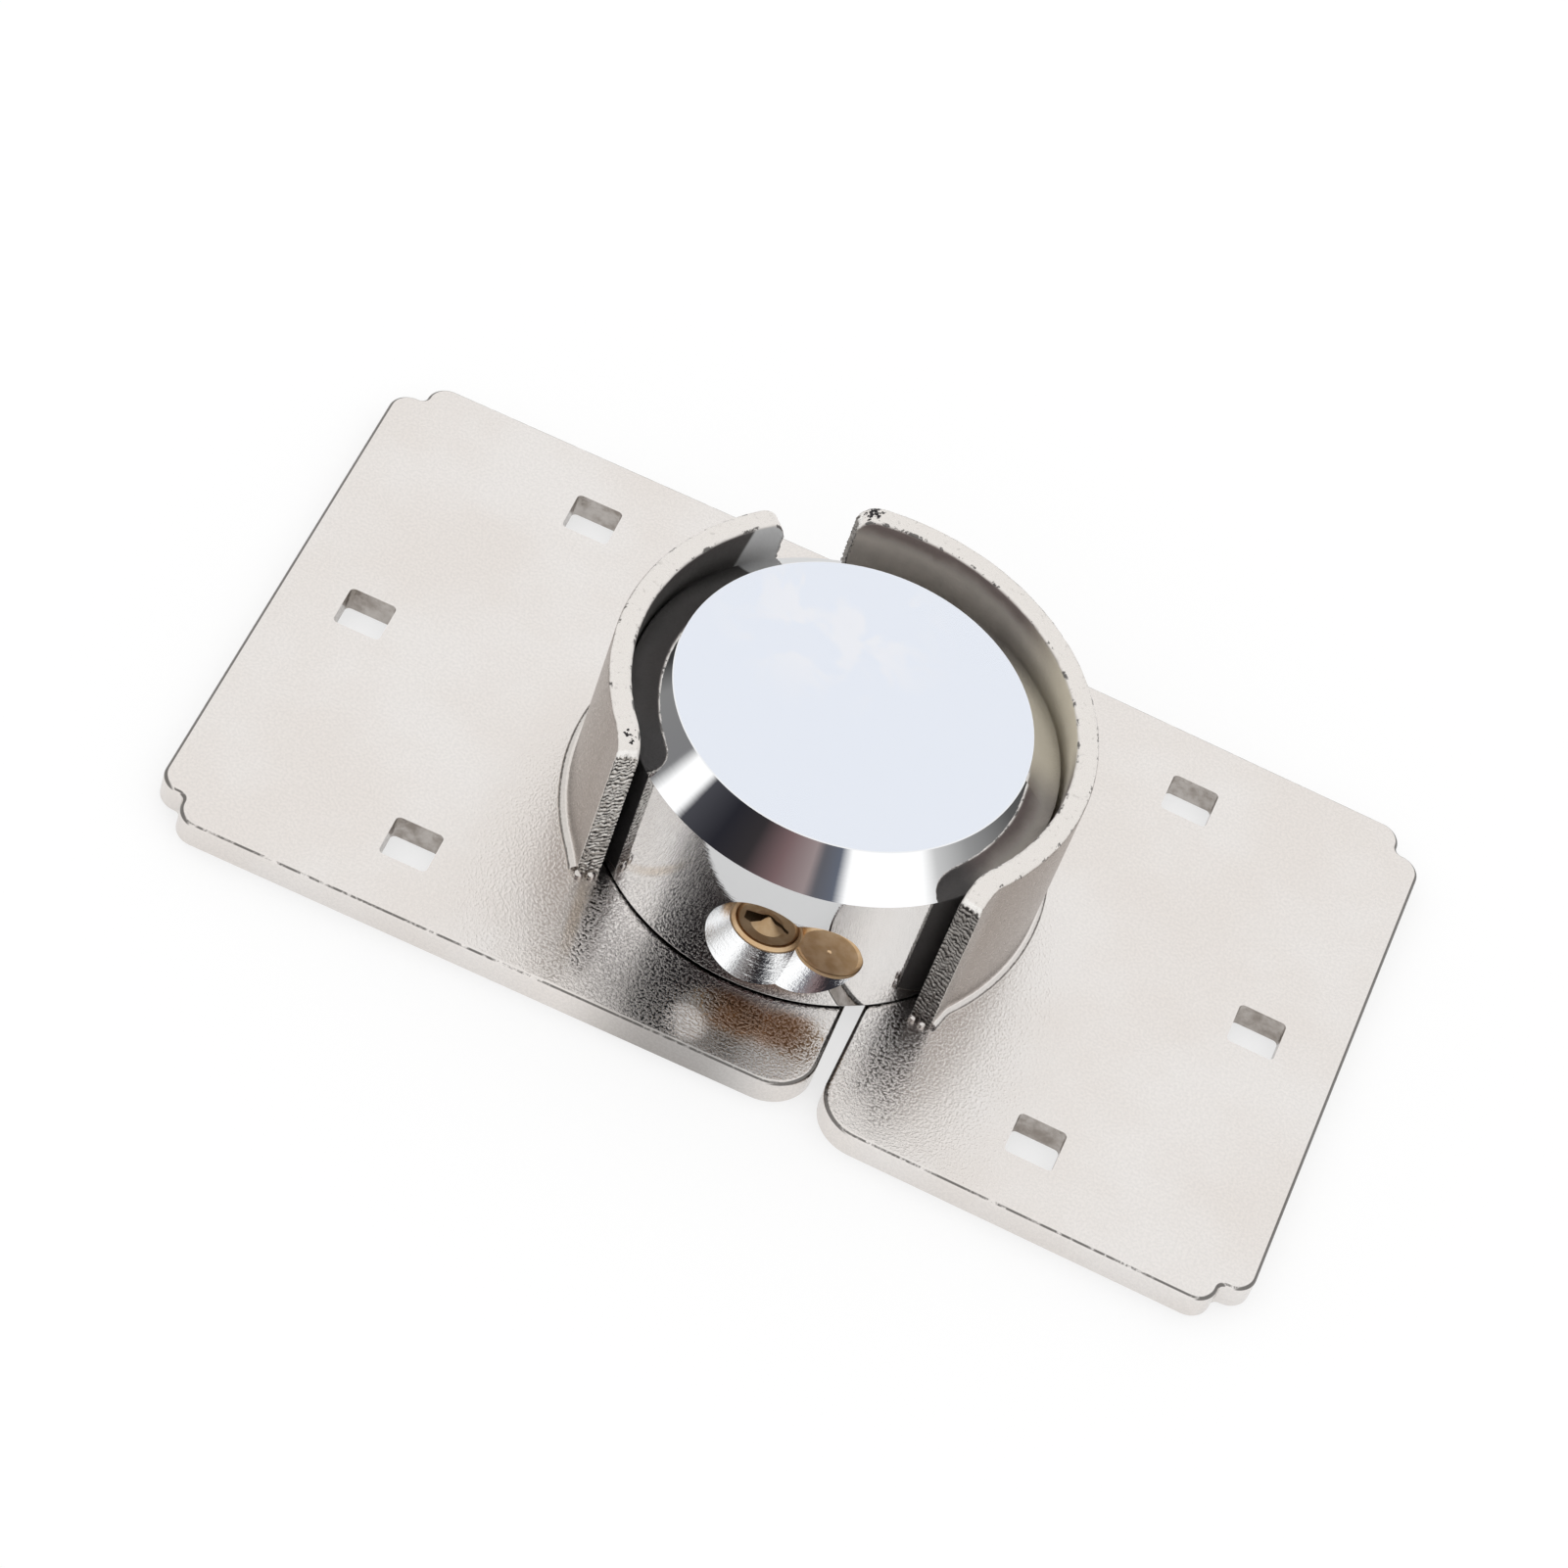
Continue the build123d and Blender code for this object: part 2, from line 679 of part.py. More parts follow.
with BuildPart() as core_screw:
    screw_tip_z = axis_z - core_lobe_radius + core_screw_bite
    with BuildSketch(Plane.XY.offset(cover_top_z + cavity_clearance)):
        with Locations((lobe_axis_x, core_front_y + core_screw_depth)):
            Circle(core_screw_radius - pin_fit)
    extrude(amount=screw_tip_z - cover_top_z - cavity_clearance)
    with BuildSketch(Plane.XY.offset(cover_top_z + cavity_clearance)):
        with Locations((lobe_axis_x, core_front_y + core_screw_depth)):
            RegularPolygon(screw_recess_radius, 6)
    extrude(amount=core_screw_socket, mode=Mode.SUBTRACT)
core_screw.part.label = "core_screw"
export_step(core_screw.part, "parts/core_screw.step")

with BuildPart() as driver_pins:
    for depth in pin_depths:
        with BuildSketch(Plane.YZ.offset(driver_start_x)):
            with Locations((core_front_y + depth, axis_z)):
                Circle(pin_radius)
        extrude(amount=driver_pin_length)
driver_pins.part.label = "driver_pins"
export_step(driver_pins.part, "parts/driver_pins.step")

with BuildPart() as chamber_caps:
    for depth in pin_depths:
        with BuildSketch(Plane.YZ.offset(cap_start_x)):
            with Locations((core_front_y + depth, axis_z)):
                Circle(pin_radius + pin_fit)
        extrude(amount=cap_thickness)
chamber_caps.part.label = "chamber_caps"
export_step(chamber_caps.part, "parts/chamber_caps.step")

spring_length = cap_start_x - spring_start_x - spring_wire
spring_radius = pin_radius - spring_wire / 2 - pin_fit
with BuildPart() as pin_springs:
    coil_plane = Plane.YZ.offset(spring_start_x + spring_wire / 2)
    coil = Helix(spring_length / spring_turns, spring_length, spring_radius)
    with BuildPart(mode=Mode.PRIVATE) as one_spring:
        with BuildLine():
            add(coil)
        with BuildSketch(Plane(origin=coil @ 0, z_dir=coil % 0)):
            RegularPolygon(spring_wire / 2, 6)
        sweep(path=coil, is_frenet=True)
    for depth in pin_depths:
        place = Plane(
            origin=(spring_start_x + spring_wire / 2, core_front_y + depth, axis_z),
            x_dir=(0, 1, 0),
            z_dir=(1, 0, 0),
        )
        add(place.location * one_spring.part)
pin_springs.part.label = "pin_springs"
export_step(pin_springs.part, "parts/pin_springs.step")


def tail_flats(growth):
    """Section of the tail where it drives the pinion: round, with two flats."""
    with BuildSketch() as section:
        Circle(spindle_radius + growth)
        Rectangle(2 * spindle_radius + 1, 2 * (spindle_radius * 0.8 + growth), mode=Mode.INTERSECT)
    return section.sketch


def keyway():
    """Section of the keyway: wide at the left, and a narrow zigzag towards the pins."""
    points = [
        (-3.9, 1.15),
        (-2.6, 1.5),
        (-1.2, 0.85),
        (-0.3, 1.2),
        (1.1, 0.55),
        (2.4, 1.0),
        (3.7, 0.35),
        (3.7, -0.35),
        (2.5, 0.2),
        (1.1, -0.35),
        (-0.3, 0.25),
        (-1.2, -0.85),
        (-2.6, -1.2),
        (-3.9, -0.8),
    ]
    with BuildSketch() as section:
        with Locations((core_axis_x, axis_z)):
            Polygon(*points, align=None)
    return section.sketch


plug_back_y = core_back_y
collar_end_y = pinion_front_y - drive_side_gap / 2
with BuildPart() as plug:
    with BuildSketch(Plane.XZ.offset(-plug_back_y)):
        with Locations((core_axis_x, axis_z)):
            Circle(plug_radius)
    extrude(amount=plug_back_y - plug_face_y)
    with BuildSketch(Plane.XZ.offset(-plug_face_y)):
        with Locations((core_axis_x, axis_z)):
            Circle(plug_head_radius)
    extrude(amount=-plug_head_length)
    chamfer(plug.edges().filter_by(GeomType.CIRCLE).sort_by(Axis.Y)[0], plug_head_bevel)
    with BuildSketch(Plane.XZ.offset(-plug_back_y)):
        with Locations((core_axis_x, axis_z)):
            Circle(tail_radius)
    extrude(amount=-(collar_end_y - plug_back_y))
    with BuildSketch(Plane.XZ.offset(-collar_end_y)):
        with Locations((core_axis_x, axis_z)):
            add(tail_flats(0))
    extrude(amount=-(pinion_back_y - collar_end_y))
    # Dimple round the middle of the face, and the keyway through the body
    with BuildSketch(Plane.XZ.offset(-plug_face_y)):
        with Locations((core_axis_x, axis_z)):
            Circle(dimple_radius)
    dimple_angle = degrees(atan((dimple_radius - 0.05) / dimple_depth))
    extrude(amount=-dimple_depth, taper=dimple_angle, mode=Mode.SUBTRACT)
    with BuildSketch(Plane.XZ.offset(-plug_face_y)):
        add(keyway())
    extrude(amount=-(plug_back_y - plug_face_y - plug_head_length), mode=Mode.SUBTRACT)
    for depth in pin_depths:
        with BuildSketch(Plane.YZ.offset(core_axis_x)):
            with Locations((core_front_y + depth, axis_z)):
                Circle(pin_radius + pin_fit)
        extrude(amount=plug_radius + 1, mode=Mode.SUBTRACT)
    # Groove for the circlip
    with BuildSketch(Plane.XZ.offset(-clip_front_y)):
        with Locations((core_axis_x, axis_z)):
            Circle(tail_radius)
            Circle(tail_radius - clip_groove_depth, mode=Mode.SUBTRACT)
    extrude(amount=-clip_thickness, mode=Mode.SUBTRACT)
plug.part.label = "plug"
export_step(plug.part, "parts/plug.step")

# The key pins end flush with the plug's round surface.
with BuildPart() as key_pins:
    shear_radius = plug_radius - shear_clearance / 2
    for depth, length in zip(pin_depths, key_pin_lengths):
        with BuildSketch(Plane.YZ.offset(core_axis_x + shear_radius - length)):
            with Locations((core_front_y + depth, axis_z)):
                Circle(pin_radius)
        extrude(amount=length)
    tips = key_pins.edges().filter_by(GeomType.CIRCLE)
    tip_limit_x = core_axis_x + shear_radius - min(key_pin_lengths) / 2
    chamfer([e for e in tips if e.center().X < tip_limit_x], key_pin_bevel)
    with BuildSketch(Plane.XZ.offset(-core_front_y)):
        with Locations((core_axis_x, axis_z)):
            Circle(shear_radius)
    extrude(amount=-core_length, mode=Mode.INTERSECT)
key_pins.part.label = "key_pins"
export_step(key_pins.part, "parts/key_pins.step")

with BuildPart() as plug_clip:
    with BuildSketch(Plane.XZ.offset(-clip_front_y)):
        with Locations((core_axis_x, axis_z)):
            Circle(clip_radius)
            Circle(tail_radius - clip_groove_depth + core_fit, mode=Mode.SUBTRACT)
        with Locations((core_axis_x, axis_z - clip_radius)):
            Rectangle(2 * (tail_radius - clip_groove_depth), 2 * clip_radius, mode=Mode.SUBTRACT)
    extrude(amount=-clip_thickness)
plug_clip.part.label = "plug_clip"
export_step(plug_clip.part, "parts/plug_clip.step")


def involute(angle):
    return tan(angle) - angle


def pinion_teeth():
    """Section of the pinion: involute flanks on a root circle."""
    slope = radians(pressure_angle)
    base_radius = pinion_radius * cos(slope)
    tip_radius = pinion_radius + tooth_addendum
    root_radius = pinion_radius - tooth_dedendum
    foot_radius = 0.6 * root_radius
    half_tooth = (tooth_pitch - tooth_backlash) / 4 / pinion_radius + involute(slope)
    flank = []
    for step in range(5):
        radius = base_radius + (tip_radius - base_radius) * step / 4
        roll = acos(min(1.0, base_radius / radius))
        flank.append((radius, half_tooth - involute(roll)))
    with BuildSketch() as section:
        Circle(root_radius)
        for index in range(tooth_count):
            middle = pi / 2 + 2 * pi * (index + 0.5) / tooth_count
            left = [(r * cos(middle + a), r * sin(middle + a)) for r, a in flank]
            right = [(r * cos(middle - a), r * sin(middle - a)) for r, a in flank]
            inner = [
                (foot_radius * cos(middle - half_tooth), foot_radius * sin(middle - half_tooth)),
                (foot_radius * cos(middle + half_tooth), foot_radius * sin(middle + half_tooth)),
            ]
            Polygon(*left, *reversed(right), *inner, align=None)
    return section.sketch


with BuildPart() as drive_pinion:
    with BuildSketch(Plane.XZ.offset(-pinion_front_y)):
        with Locations((core_axis_x, axis_z)):
            add(pinion_teeth())
            add(tail_flats(core_fit), mode=Mode.SUBTRACT)
    extrude(amount=-pinion_width)
drive_pinion.part.label = "drive_pinion"
export_step(drive_pinion.part, "parts/drive_pinion.step")

with BuildPart() as locking_bolt:
    with BuildSketch(Plane.YZ.offset(bolt_home_x)):
        with Locations((bolt_y, axis_z)):
            Circle(bolt_radius)
    extrude(amount=arm_x - bolt_home_x)
    nose = locking_bolt.faces().sort_by(Axis.X)[0].edges()
    chamfer(nose, bolt_nose_bevel)
    with BuildSketch(Plane.YZ.offset(arm_x)):
        with Locations((bolt_y, axis_z)):
            Circle(spigot_radius)
    extrude(amount=arm_thickness)
    with BuildSketch(Plane.YZ.offset(bolt_end_x)):
        with Locations((bolt_y, axis_z)):
            Circle(screw_radius + core_fit)
    extrude(amount=-screw_length - cavity_clearance, mode=Mode.SUBTRACT)
locking_bolt.part.label = "locking_bolt"
export_step(locking_bolt.part, "parts/locking_bolt.step")

with BuildPart() as bolt_rack:
    root_z = rack_pitch_z + tooth_dedendum
    tip_z = rack_pitch_z - tooth_addendum
    half_pitch_width = (tooth_pitch - tooth_backlash) / 4
    flank_slope = tan(radians(pressure_angle))
    root_half = half_pitch_width + tooth_dedendum * flank_slope
    tip_half = half_pitch_width - tooth_addendum * flank_slope
    with BuildSketch(Plane.XZ.offset(-rack_front_y)):
        with Locations(((rack_left_x + bolt_end_x) / 2, (root_z + rack_top_z) / 2)):
            Rectangle(bolt_end_x - rack_left_x, rack_backing)
        for index in range(-1, tooth_count + 2):
            middle = core_axis_x + index * tooth_pitch
            Polygon(
                (middle - root_half, root_z),
                (middle - tip_half, tip_z),
                (middle + tip_half, tip_z),
                (middle + root_half, root_z),
                align=None,
            )
    extrude(amount=-rack_width)
    with BuildSketch(Plane.YZ.offset(arm_x)):
        add(drive_arm(0))
        with Locations((bolt_y, axis_z)):
            Circle(spigot_radius + core_fit, mode=Mode.SUBTRACT)
    extrude(amount=arm_thickness)
bolt_rack.part.label = "bolt_rack"
export_step(bolt_rack.part, "parts/bolt_rack.step")

with BuildPart() as rack_screw:
    with BuildSketch(Plane.YZ.offset(bolt_end_x)):
        with Locations((bolt_y, axis_z)):
            Circle(keeper_head_radius)
            RegularPolygon(screw_recess_radius, 6, mode=Mode.SUBTRACT)
    extrude(amount=keeper_head_thickness)
    with BuildSketch(Plane.YZ.offset(bolt_end_x)):
        with Locations((bolt_y, axis_z)):
            Circle(screw_radius)
    extrude(amount=-screw_length)
rack_screw.part.label = "rack_screw"
export_step(rack_screw.part, "parts/rack_screw.step")
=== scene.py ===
import bpy
import bmesh
from math import cos, floor, pi, radians, sin, sqrt
from mathutils import Matrix, Vector, noise


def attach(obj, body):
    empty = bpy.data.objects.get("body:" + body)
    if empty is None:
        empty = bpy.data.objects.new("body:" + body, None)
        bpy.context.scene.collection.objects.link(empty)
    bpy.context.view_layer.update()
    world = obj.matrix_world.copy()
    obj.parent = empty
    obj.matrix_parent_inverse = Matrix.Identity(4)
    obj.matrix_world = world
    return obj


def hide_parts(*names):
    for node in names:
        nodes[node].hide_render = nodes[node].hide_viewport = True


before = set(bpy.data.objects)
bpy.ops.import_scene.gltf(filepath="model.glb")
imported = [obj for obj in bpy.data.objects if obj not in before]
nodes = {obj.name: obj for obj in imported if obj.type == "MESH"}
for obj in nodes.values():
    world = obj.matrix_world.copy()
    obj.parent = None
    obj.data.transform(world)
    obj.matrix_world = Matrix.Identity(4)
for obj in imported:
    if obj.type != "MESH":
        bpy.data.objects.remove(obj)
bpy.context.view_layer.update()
mm = 0.001
print("frame loaded:", len(nodes), "nodes")


def addObject(name, data):
    made = bpy.data.objects.new(name, data)
    bpy.context.scene.collection.objects.link(made)
    return made


cameraView = {
    "azimuth": 3.589,     # degrees round from the front
    "elevation": 48.597,
    "roll": 21.347,       # the picture is tilted, so the plates run downhill
    "distance": 825.94,   # mm, along the view from the padlock's axis
    "sideways": -5.97,
    "upwards": 9.369,
    "lens": 112.98, "sensor": 36,        # mm
    "nearest": 0.01, "farthest": 20,     # metres
}


def makeCamera(view):
    a, e, r = (radians(view[key]) for key in ("azimuth", "elevation", "roll"))
    back = Vector((sin(a) * cos(e), -cos(a) * cos(e), sin(e)))
    right = Vector((cos(a), sin(a), 0))
    up = back.cross(right)
    place = (right * view["sideways"] + up * view["upwards"] + back * view["distance"]) * mm
    tiltedRight = right * cos(r) + up * sin(r)
    tiltedUp = up * cos(r) - right * sin(r)
    data = bpy.data.cameras.new("photoCamera")
    data.sensor_width = view["sensor"]
    data.lens = view["lens"]
    data.clip_start, data.clip_end = view["nearest"], view["farthest"]
    camera = addObject("photoCamera", data)
    axes = Matrix((tiltedRight, tiltedUp, back)).transposed().to_4x4()
    camera.matrix_world = Matrix.Translation(place) @ axes
    bpy.context.scene.camera = camera


makeCamera(cameraView)
print("camera placed")


def addNode(tree, kind, inputs=None, **settings):
    # an input takes a value or a link, and is named or numbered
    made = tree.nodes.new(kind)
    for key, value in settings.items():
        setattr(made, key, value)
    for key, value in (inputs or {}).items():
        target = made.inputs[key]
        if isinstance(value, bpy.types.NodeSocket):
            tree.links.new(value, target)
        else:
            target.default_value = value
    return made


def mathOf(tree, operation, *values):
    made = addNode(tree, "ShaderNodeMath", dict(enumerate(values)), operation=operation)
    return made.outputs[0]


def product(tree, *values):
    total = values[0]
    for value in values[1:]:
        total = mathOf(tree, "MULTIPLY", total, value)
    return total


def vectorMath(tree, operation, *values):
    made = addNode(tree, "ShaderNodeVectorMath", dict(enumerate(values)), operation=operation)
    return made.outputs["Value" if operation in ("LENGTH", "DOT_PRODUCT") else "Vector"]


def smoothStep(tree, value, low, high, toLow=0.0, toHigh=1.0):
    # eases from toLow at low to toHigh at high, and low may be the larger of the two
    made = addNode(tree, "ShaderNodeMapRange", {
        "Value": value, "From Min": low, "From Max": high, "To Min": toLow, "To Max": toHigh},
        interpolation_type="SMOOTHSTEP", clamp=True)
    return made.outputs["Result"]


def mixColour(tree, share, first, second):
    made = addNode(tree, "ShaderNodeMix", data_type="RGBA")
    for name, value in (("Factor_Float", share), ("A_Color", first), ("B_Color", second)):
        target = next(i for i in made.inputs if i.identifier == name)
        if isinstance(value, bpy.types.NodeSocket):
            tree.links.new(value, target)
        elif name == "Factor_Float":
            target.default_value = value
        else:
            target.default_value = (*value, 1)
    return next(o for o in made.outputs if o.identifier == "Result_Color")


def scaleColour(tree, colour, factor):
    made = addNode(tree, "ShaderNodeVectorMath", {0: colour, "Scale": factor}, operation="SCALE")
    return made.outputs["Vector"]


def noiseOf(tree, place, size, detail=2.0, roughness=0.5, distortion=0.0):
    # size in mm
    made = addNode(tree, "ShaderNodeTexNoise", {
        "Vector": place, "Scale": 1 / (size * mm), "Detail": detail,
        "Roughness": roughness, "Distortion": distortion})
    return made.outputs["Fac"]


def bumpOf(tree, height, depth, before=None):
    # depth in mm
    values = {"Height": height, "Distance": depth * mm}
    if before is not None:
        values["Normal"] = before
    return addNode(tree, "ShaderNodeBump", values).outputs[0]


def spreadOf(tree, pattern, middle, spread):
    # roughness that varies by up to spread on each side of the middle
    return mathOf(tree, "MULTIPLY_ADD", pattern, 2 * spread, middle - spread)


def newMetal(name, colour, roughness):
    material = bpy.data.materials.new(name)
    material.use_nodes = True
    tree = material.node_tree
    shader = tree.nodes["Principled BSDF"]
    shader.inputs["Metallic"].default_value = 1.0
    shader.inputs["Base Color"].default_value = (*colour, 1)
    shader.inputs["Roughness"].default_value = roughness
    place = addNode(tree, "ShaderNodeTexCoord").outputs["Object"]
    return material, tree, shader, place


def partsOf(tree, place):
    split = addNode(tree, "ShaderNodeSeparateXYZ", {0: place})
    return split.outputs[0], split.outputs[1], split.outputs[2]


def facingOf(tree):
    # how far a face looks east, north and up
    return partsOf(tree, addNode(tree, "ShaderNodeTexCoord").outputs["Normal"])


def distanceFrom(tree, place, centre, flatten):
    # distance in mm from a line through centre, along the axis that is flattened
    scale = [1 / mm] * 3
    scale["xyz".index(flatten)] = 0.0
    shifted = vectorMath(tree, "ADD", place, [-c * mm for c in centre])
    return vectorMath(tree, "LENGTH", vectorMath(tree, "MULTIPLY", shifted, scale))


def inMetres(values):
    return [value * mm for value in values]


def shaded(colour, shade):
    return tuple(c * shade for c in colour)


lockAxis = (0, 0, 0)            # upright; these three are in mm
plugAxis = (1.7, 0, 16.7)       # front to back
lobeAxis = (12.65, 0, 16.7)
cloudRange = (0.35, 0.7)        # noise values between which one colour gives way to the other
noiseSpan = (0.3, 0.7)          # nearly all that a noise gives

plateLook = {     # sizes and depths in mm
    "colour": (0.80, 0.757, 0.722),
    "cloudColour": (0.83, 0.80, 0.775), "cloudSize": 28,
    "grainSize": 0.5, "grainDepth": 0.030, "dimples": (0.42, 0.72),
    "grainShade": 0.945, "grainShadow": (0.4, 0.6),
    "roughness": 0.20, "roughSpread": 0.05,
    # the walls of the square holes get painted shade, patchy by a noise
    "holeShadeColour": (0.30, 0.265, 0.235), "holeInset": 9, "holeShadeSize": 3, "leastHoleShade": 0.55,
    # a painted dark reflection along the rounded rim
    "rimShadeColour": (0.07, 0.065, 0.06), "rimShade": 0.85,
    "rimBreakSize": 3, "rimBreaks": (0.37, 0.52),
    # how far a face looks up, or sideways, where each mask starts and ends
    "holeUp": (0.6, 0.3), "rimUp": (0.55, 0.66), "rimOver": (0.94, 0.86),
    "sideUp": (0.2, 0.4), "sideOver": (0.98, 0.93), "sideways": (0.15, 0.35),
}
frontLook = {     # places and reaches in mm
    "place": (-4, -46, 0), "roughness": 0.08, "shade": 0.50, "shadeReach": (6, 22),
    "rubbedReach": (24, 46), "waver": 18, "waverSize": 14,
    "brightPlace": (-4, -47.5, 0), "brightReach": (6.5, 2),
    "heatColour": (0.60, 0.47, 0.33), "heatShare": 0.4, "heatPlace": (-27.5, -37, 0),
    "heatLean": 0.14, "heatWidth": (1.6, 0.3), "heatLength": (14, 5), "heatWaver": 6,
    # a painted reflection of the brass keyhole on the plate
    "brassReflectionColour": (0.42, 0.27, 0.185), "brassReflectionShare": 0.75, "goldWaver": 3,
    "goldNear": (36, 40), "goldFar": (49.5, 45.5),       # from the padlock's axis
    "goldFront": (-34, -38), "goldLeft": (-3, 2), "goldRight": (17, 12),
    "edgeSize": 4,
}


def rubbedFront(tree, place, base, rough, look):
    # in front of the padlock: rubbed smooth, with painted shade, but for a painted highlight at one
    # place at the rim
    near = distanceFrom(tree, place, look["place"], "z")
    wavy = mathOf(tree, "MULTIPLY_ADD", noiseOf(tree, place, look["waverSize"]),
                  look["waver"], near)
    rubbed = smoothStep(tree, wavy, *look["rubbedReach"])
    rough = mathOf(tree, "MULTIPLY_ADD", mathOf(tree, "SUBTRACT", rough, look["roughness"]),
                   rubbed, look["roughness"])
    # painted shade near the padlock, lifted by a painted highlight at the bright place
    shade = smoothStep(tree, near, *look["shadeReach"], look["shade"], 1.0)
    bright = smoothStep(tree, distanceFrom(tree, place, look["brightPlace"], "z"),
                        *look["brightReach"])
    base = scaleColour(tree, base, mathOf(tree, "MAXIMUM", shade, bright))
    # a straw coloured streak beside the left weld's front end
    east, north = partsOf(tree, place)[:2]
    heatEast, heatNorth = inMetres(look["heatPlace"][:2])
    across = mathOf(tree, "MULTIPLY_ADD", mathOf(tree, "SUBTRACT", north, heatNorth),
                    look["heatLean"], mathOf(tree, "SUBTRACT", east, heatEast))
    along = distanceFrom(tree, place, look["heatPlace"], "z")
    along = mathOf(tree, "MULTIPLY_ADD", noiseOf(tree, place, look["edgeSize"], 3),
                   look["heatWaver"], along)
    width = smoothStep(tree, mathOf(tree, "ABSOLUTE", across), *inMetres(look["heatWidth"]))
    streak = product(tree, width, smoothStep(tree, along, *look["heatLength"]), look["heatShare"])
    base = mixColour(tree, streak, base, look["heatColour"])
    # a painted reflection of the brass keyhole: golden along the padlock's foot, on the keyhole's
    # right
    out = distanceFrom(tree, place, lockAxis, "z")
    wavyOut = mathOf(tree, "MULTIPLY_ADD", noiseOf(tree, place, look["edgeSize"]),
                     look["goldWaver"], out)
    brassReflection = product(
        tree, smoothStep(tree, out, *look["goldNear"]), smoothStep(tree, wavyOut, *look["goldFar"]),
        smoothStep(tree, north, *inMetres(look["goldFront"])),
        smoothStep(tree, east, *inMetres(look["goldLeft"])),
        smoothStep(tree, east, *inMetres(look["goldRight"])), look["brassReflectionShare"])
    return mixColour(tree, brassReflection, base, look["brassReflectionColour"]), rough


def holeMask(tree, place, upward, plate, look):
    # 1 on upright walls well inside a plate's outline, which are the walls of its square holes
    mask = smoothStep(tree, upward, *look["holeUp"])
    inset = look["holeInset"] * mm
    for axis, value in enumerate(partsOf(tree, place)[:2]):
        reach = [v.co[axis] for v in plate.data.vertices]
        mask = product(tree, mask, mathOf(tree, "GREATER_THAN", value, min(reach) + inset),
                       mathOf(tree, "LESS_THAN", value, max(reach) - inset))
    return mask


def rimMask(tree, place, sideways, upward, look):
    # the rounded rim gets a painted dark reflection: a broken line in front and behind, a whole one
    # at the sides
    band = product(tree, smoothStep(tree, upward, *look["rimUp"]),
                   smoothStep(tree, upward, *look["rimOver"]))
    torn = noiseOf(tree, place, look["rimBreakSize"], 5, 0.8)
    broken = smoothStep(tree, torn, *look["rimBreaks"])
    sideBand = product(tree, smoothStep(tree, upward, *look["sideUp"]),
                       smoothStep(tree, upward, *look["sideOver"]),
                       smoothStep(tree, mathOf(tree, "ABSOLUTE", sideways), *look["sideways"]))
    return mathOf(tree, "MAXIMUM", product(tree, band, broken), sideBand)


def satinNickel(name, look, plate=None, shade=1.0):
    colour = shaded(look["colour"], shade)
    material, tree, shader, place = newMetal(name, colour, look["roughness"])
    clouds = noiseOf(tree, place, look["cloudSize"], 3, 0.55)
    grain = noiseOf(tree, place, look["grainSize"], 3, 0.6)
    base = mixColour(tree, smoothStep(tree, clouds, *cloudRange), colour,
                     shaded(look["cloudColour"], shade))
    shadow = smoothStep(tree, grain, *look["grainShadow"], look["grainShade"], 1.0)
    base = scaleColour(tree, base, shadow)
    rough = smoothStep(tree, grain, *noiseSpan, look["roughness"] - look["roughSpread"],
                       look["roughness"] + look["roughSpread"])
    sideways, upward = facingOf(tree)[::2]
    if plate:
        base, rough = rubbedFront(tree, place, base, rough, frontLook)
        # painted shade on the walls of the square holes, patchy by a noise
        walls = holeMask(tree, place, upward, plate, look)
        paintedShade = smoothStep(tree, noiseOf(tree, place, look["holeShadeSize"], 3, 0.6), *noiseSpan,
                           look["leastHoleShade"], 1.0)
        base = mixColour(tree, product(tree, walls, paintedShade), base, look["holeShadeColour"])
    # painted dark reflection along the rounded rim
    rim = rimMask(tree, place, sideways, upward, look)
    base = mixColour(tree, product(tree, rim, look["rimShade"]), base, look["rimShadeColour"])
    tree.links.new(base, shader.inputs["Base Color"])
    tree.links.new(rough, shader.inputs["Roughness"])
    dimples = smoothStep(tree, grain, *look["dimples"])
    tree.links.new(bumpOf(tree, dimples, look["grainDepth"]), shader.inputs["Normal"])
    return material


chromeLook = {     # sizes and places in mm
    "topColour": (0.785, 0.822, 0.895), "topHeight": 38.6, "topEase": 0.25,
    "topRoughness": 0.22, "topRoughSpread": 0.05, "topRoughSize": 3.5,
    "sideColour": (0.90, 0.905, 0.91),
    "bevelStart": 30.0, "bevelEase": 0.35,      # from the axis
    "smudgeColour": (0.83, 0.845, 0.89), "smudgeSize": 9, "smudgeRange": (0.48, 0.60),
    "smudgePlace": (-9, 15, 0), "smudgeReach": (24, 6),
    "footShadeColour": (0.02, 0.02, 0.02), "footLine": 5.6, "footEase": 0.2,
    "ringRadius": 6.25, "lobeRadius": 5.75,
    "coneFoot": 6.5, "coneTop": 31.0, "coneFacing": 0.9,
    "turningSize": 0.3, "turningDepth": 0.004,
    "coneRingSize": 0.5, "chatterSize": 0.45, "coneDepth": 0.05,
}


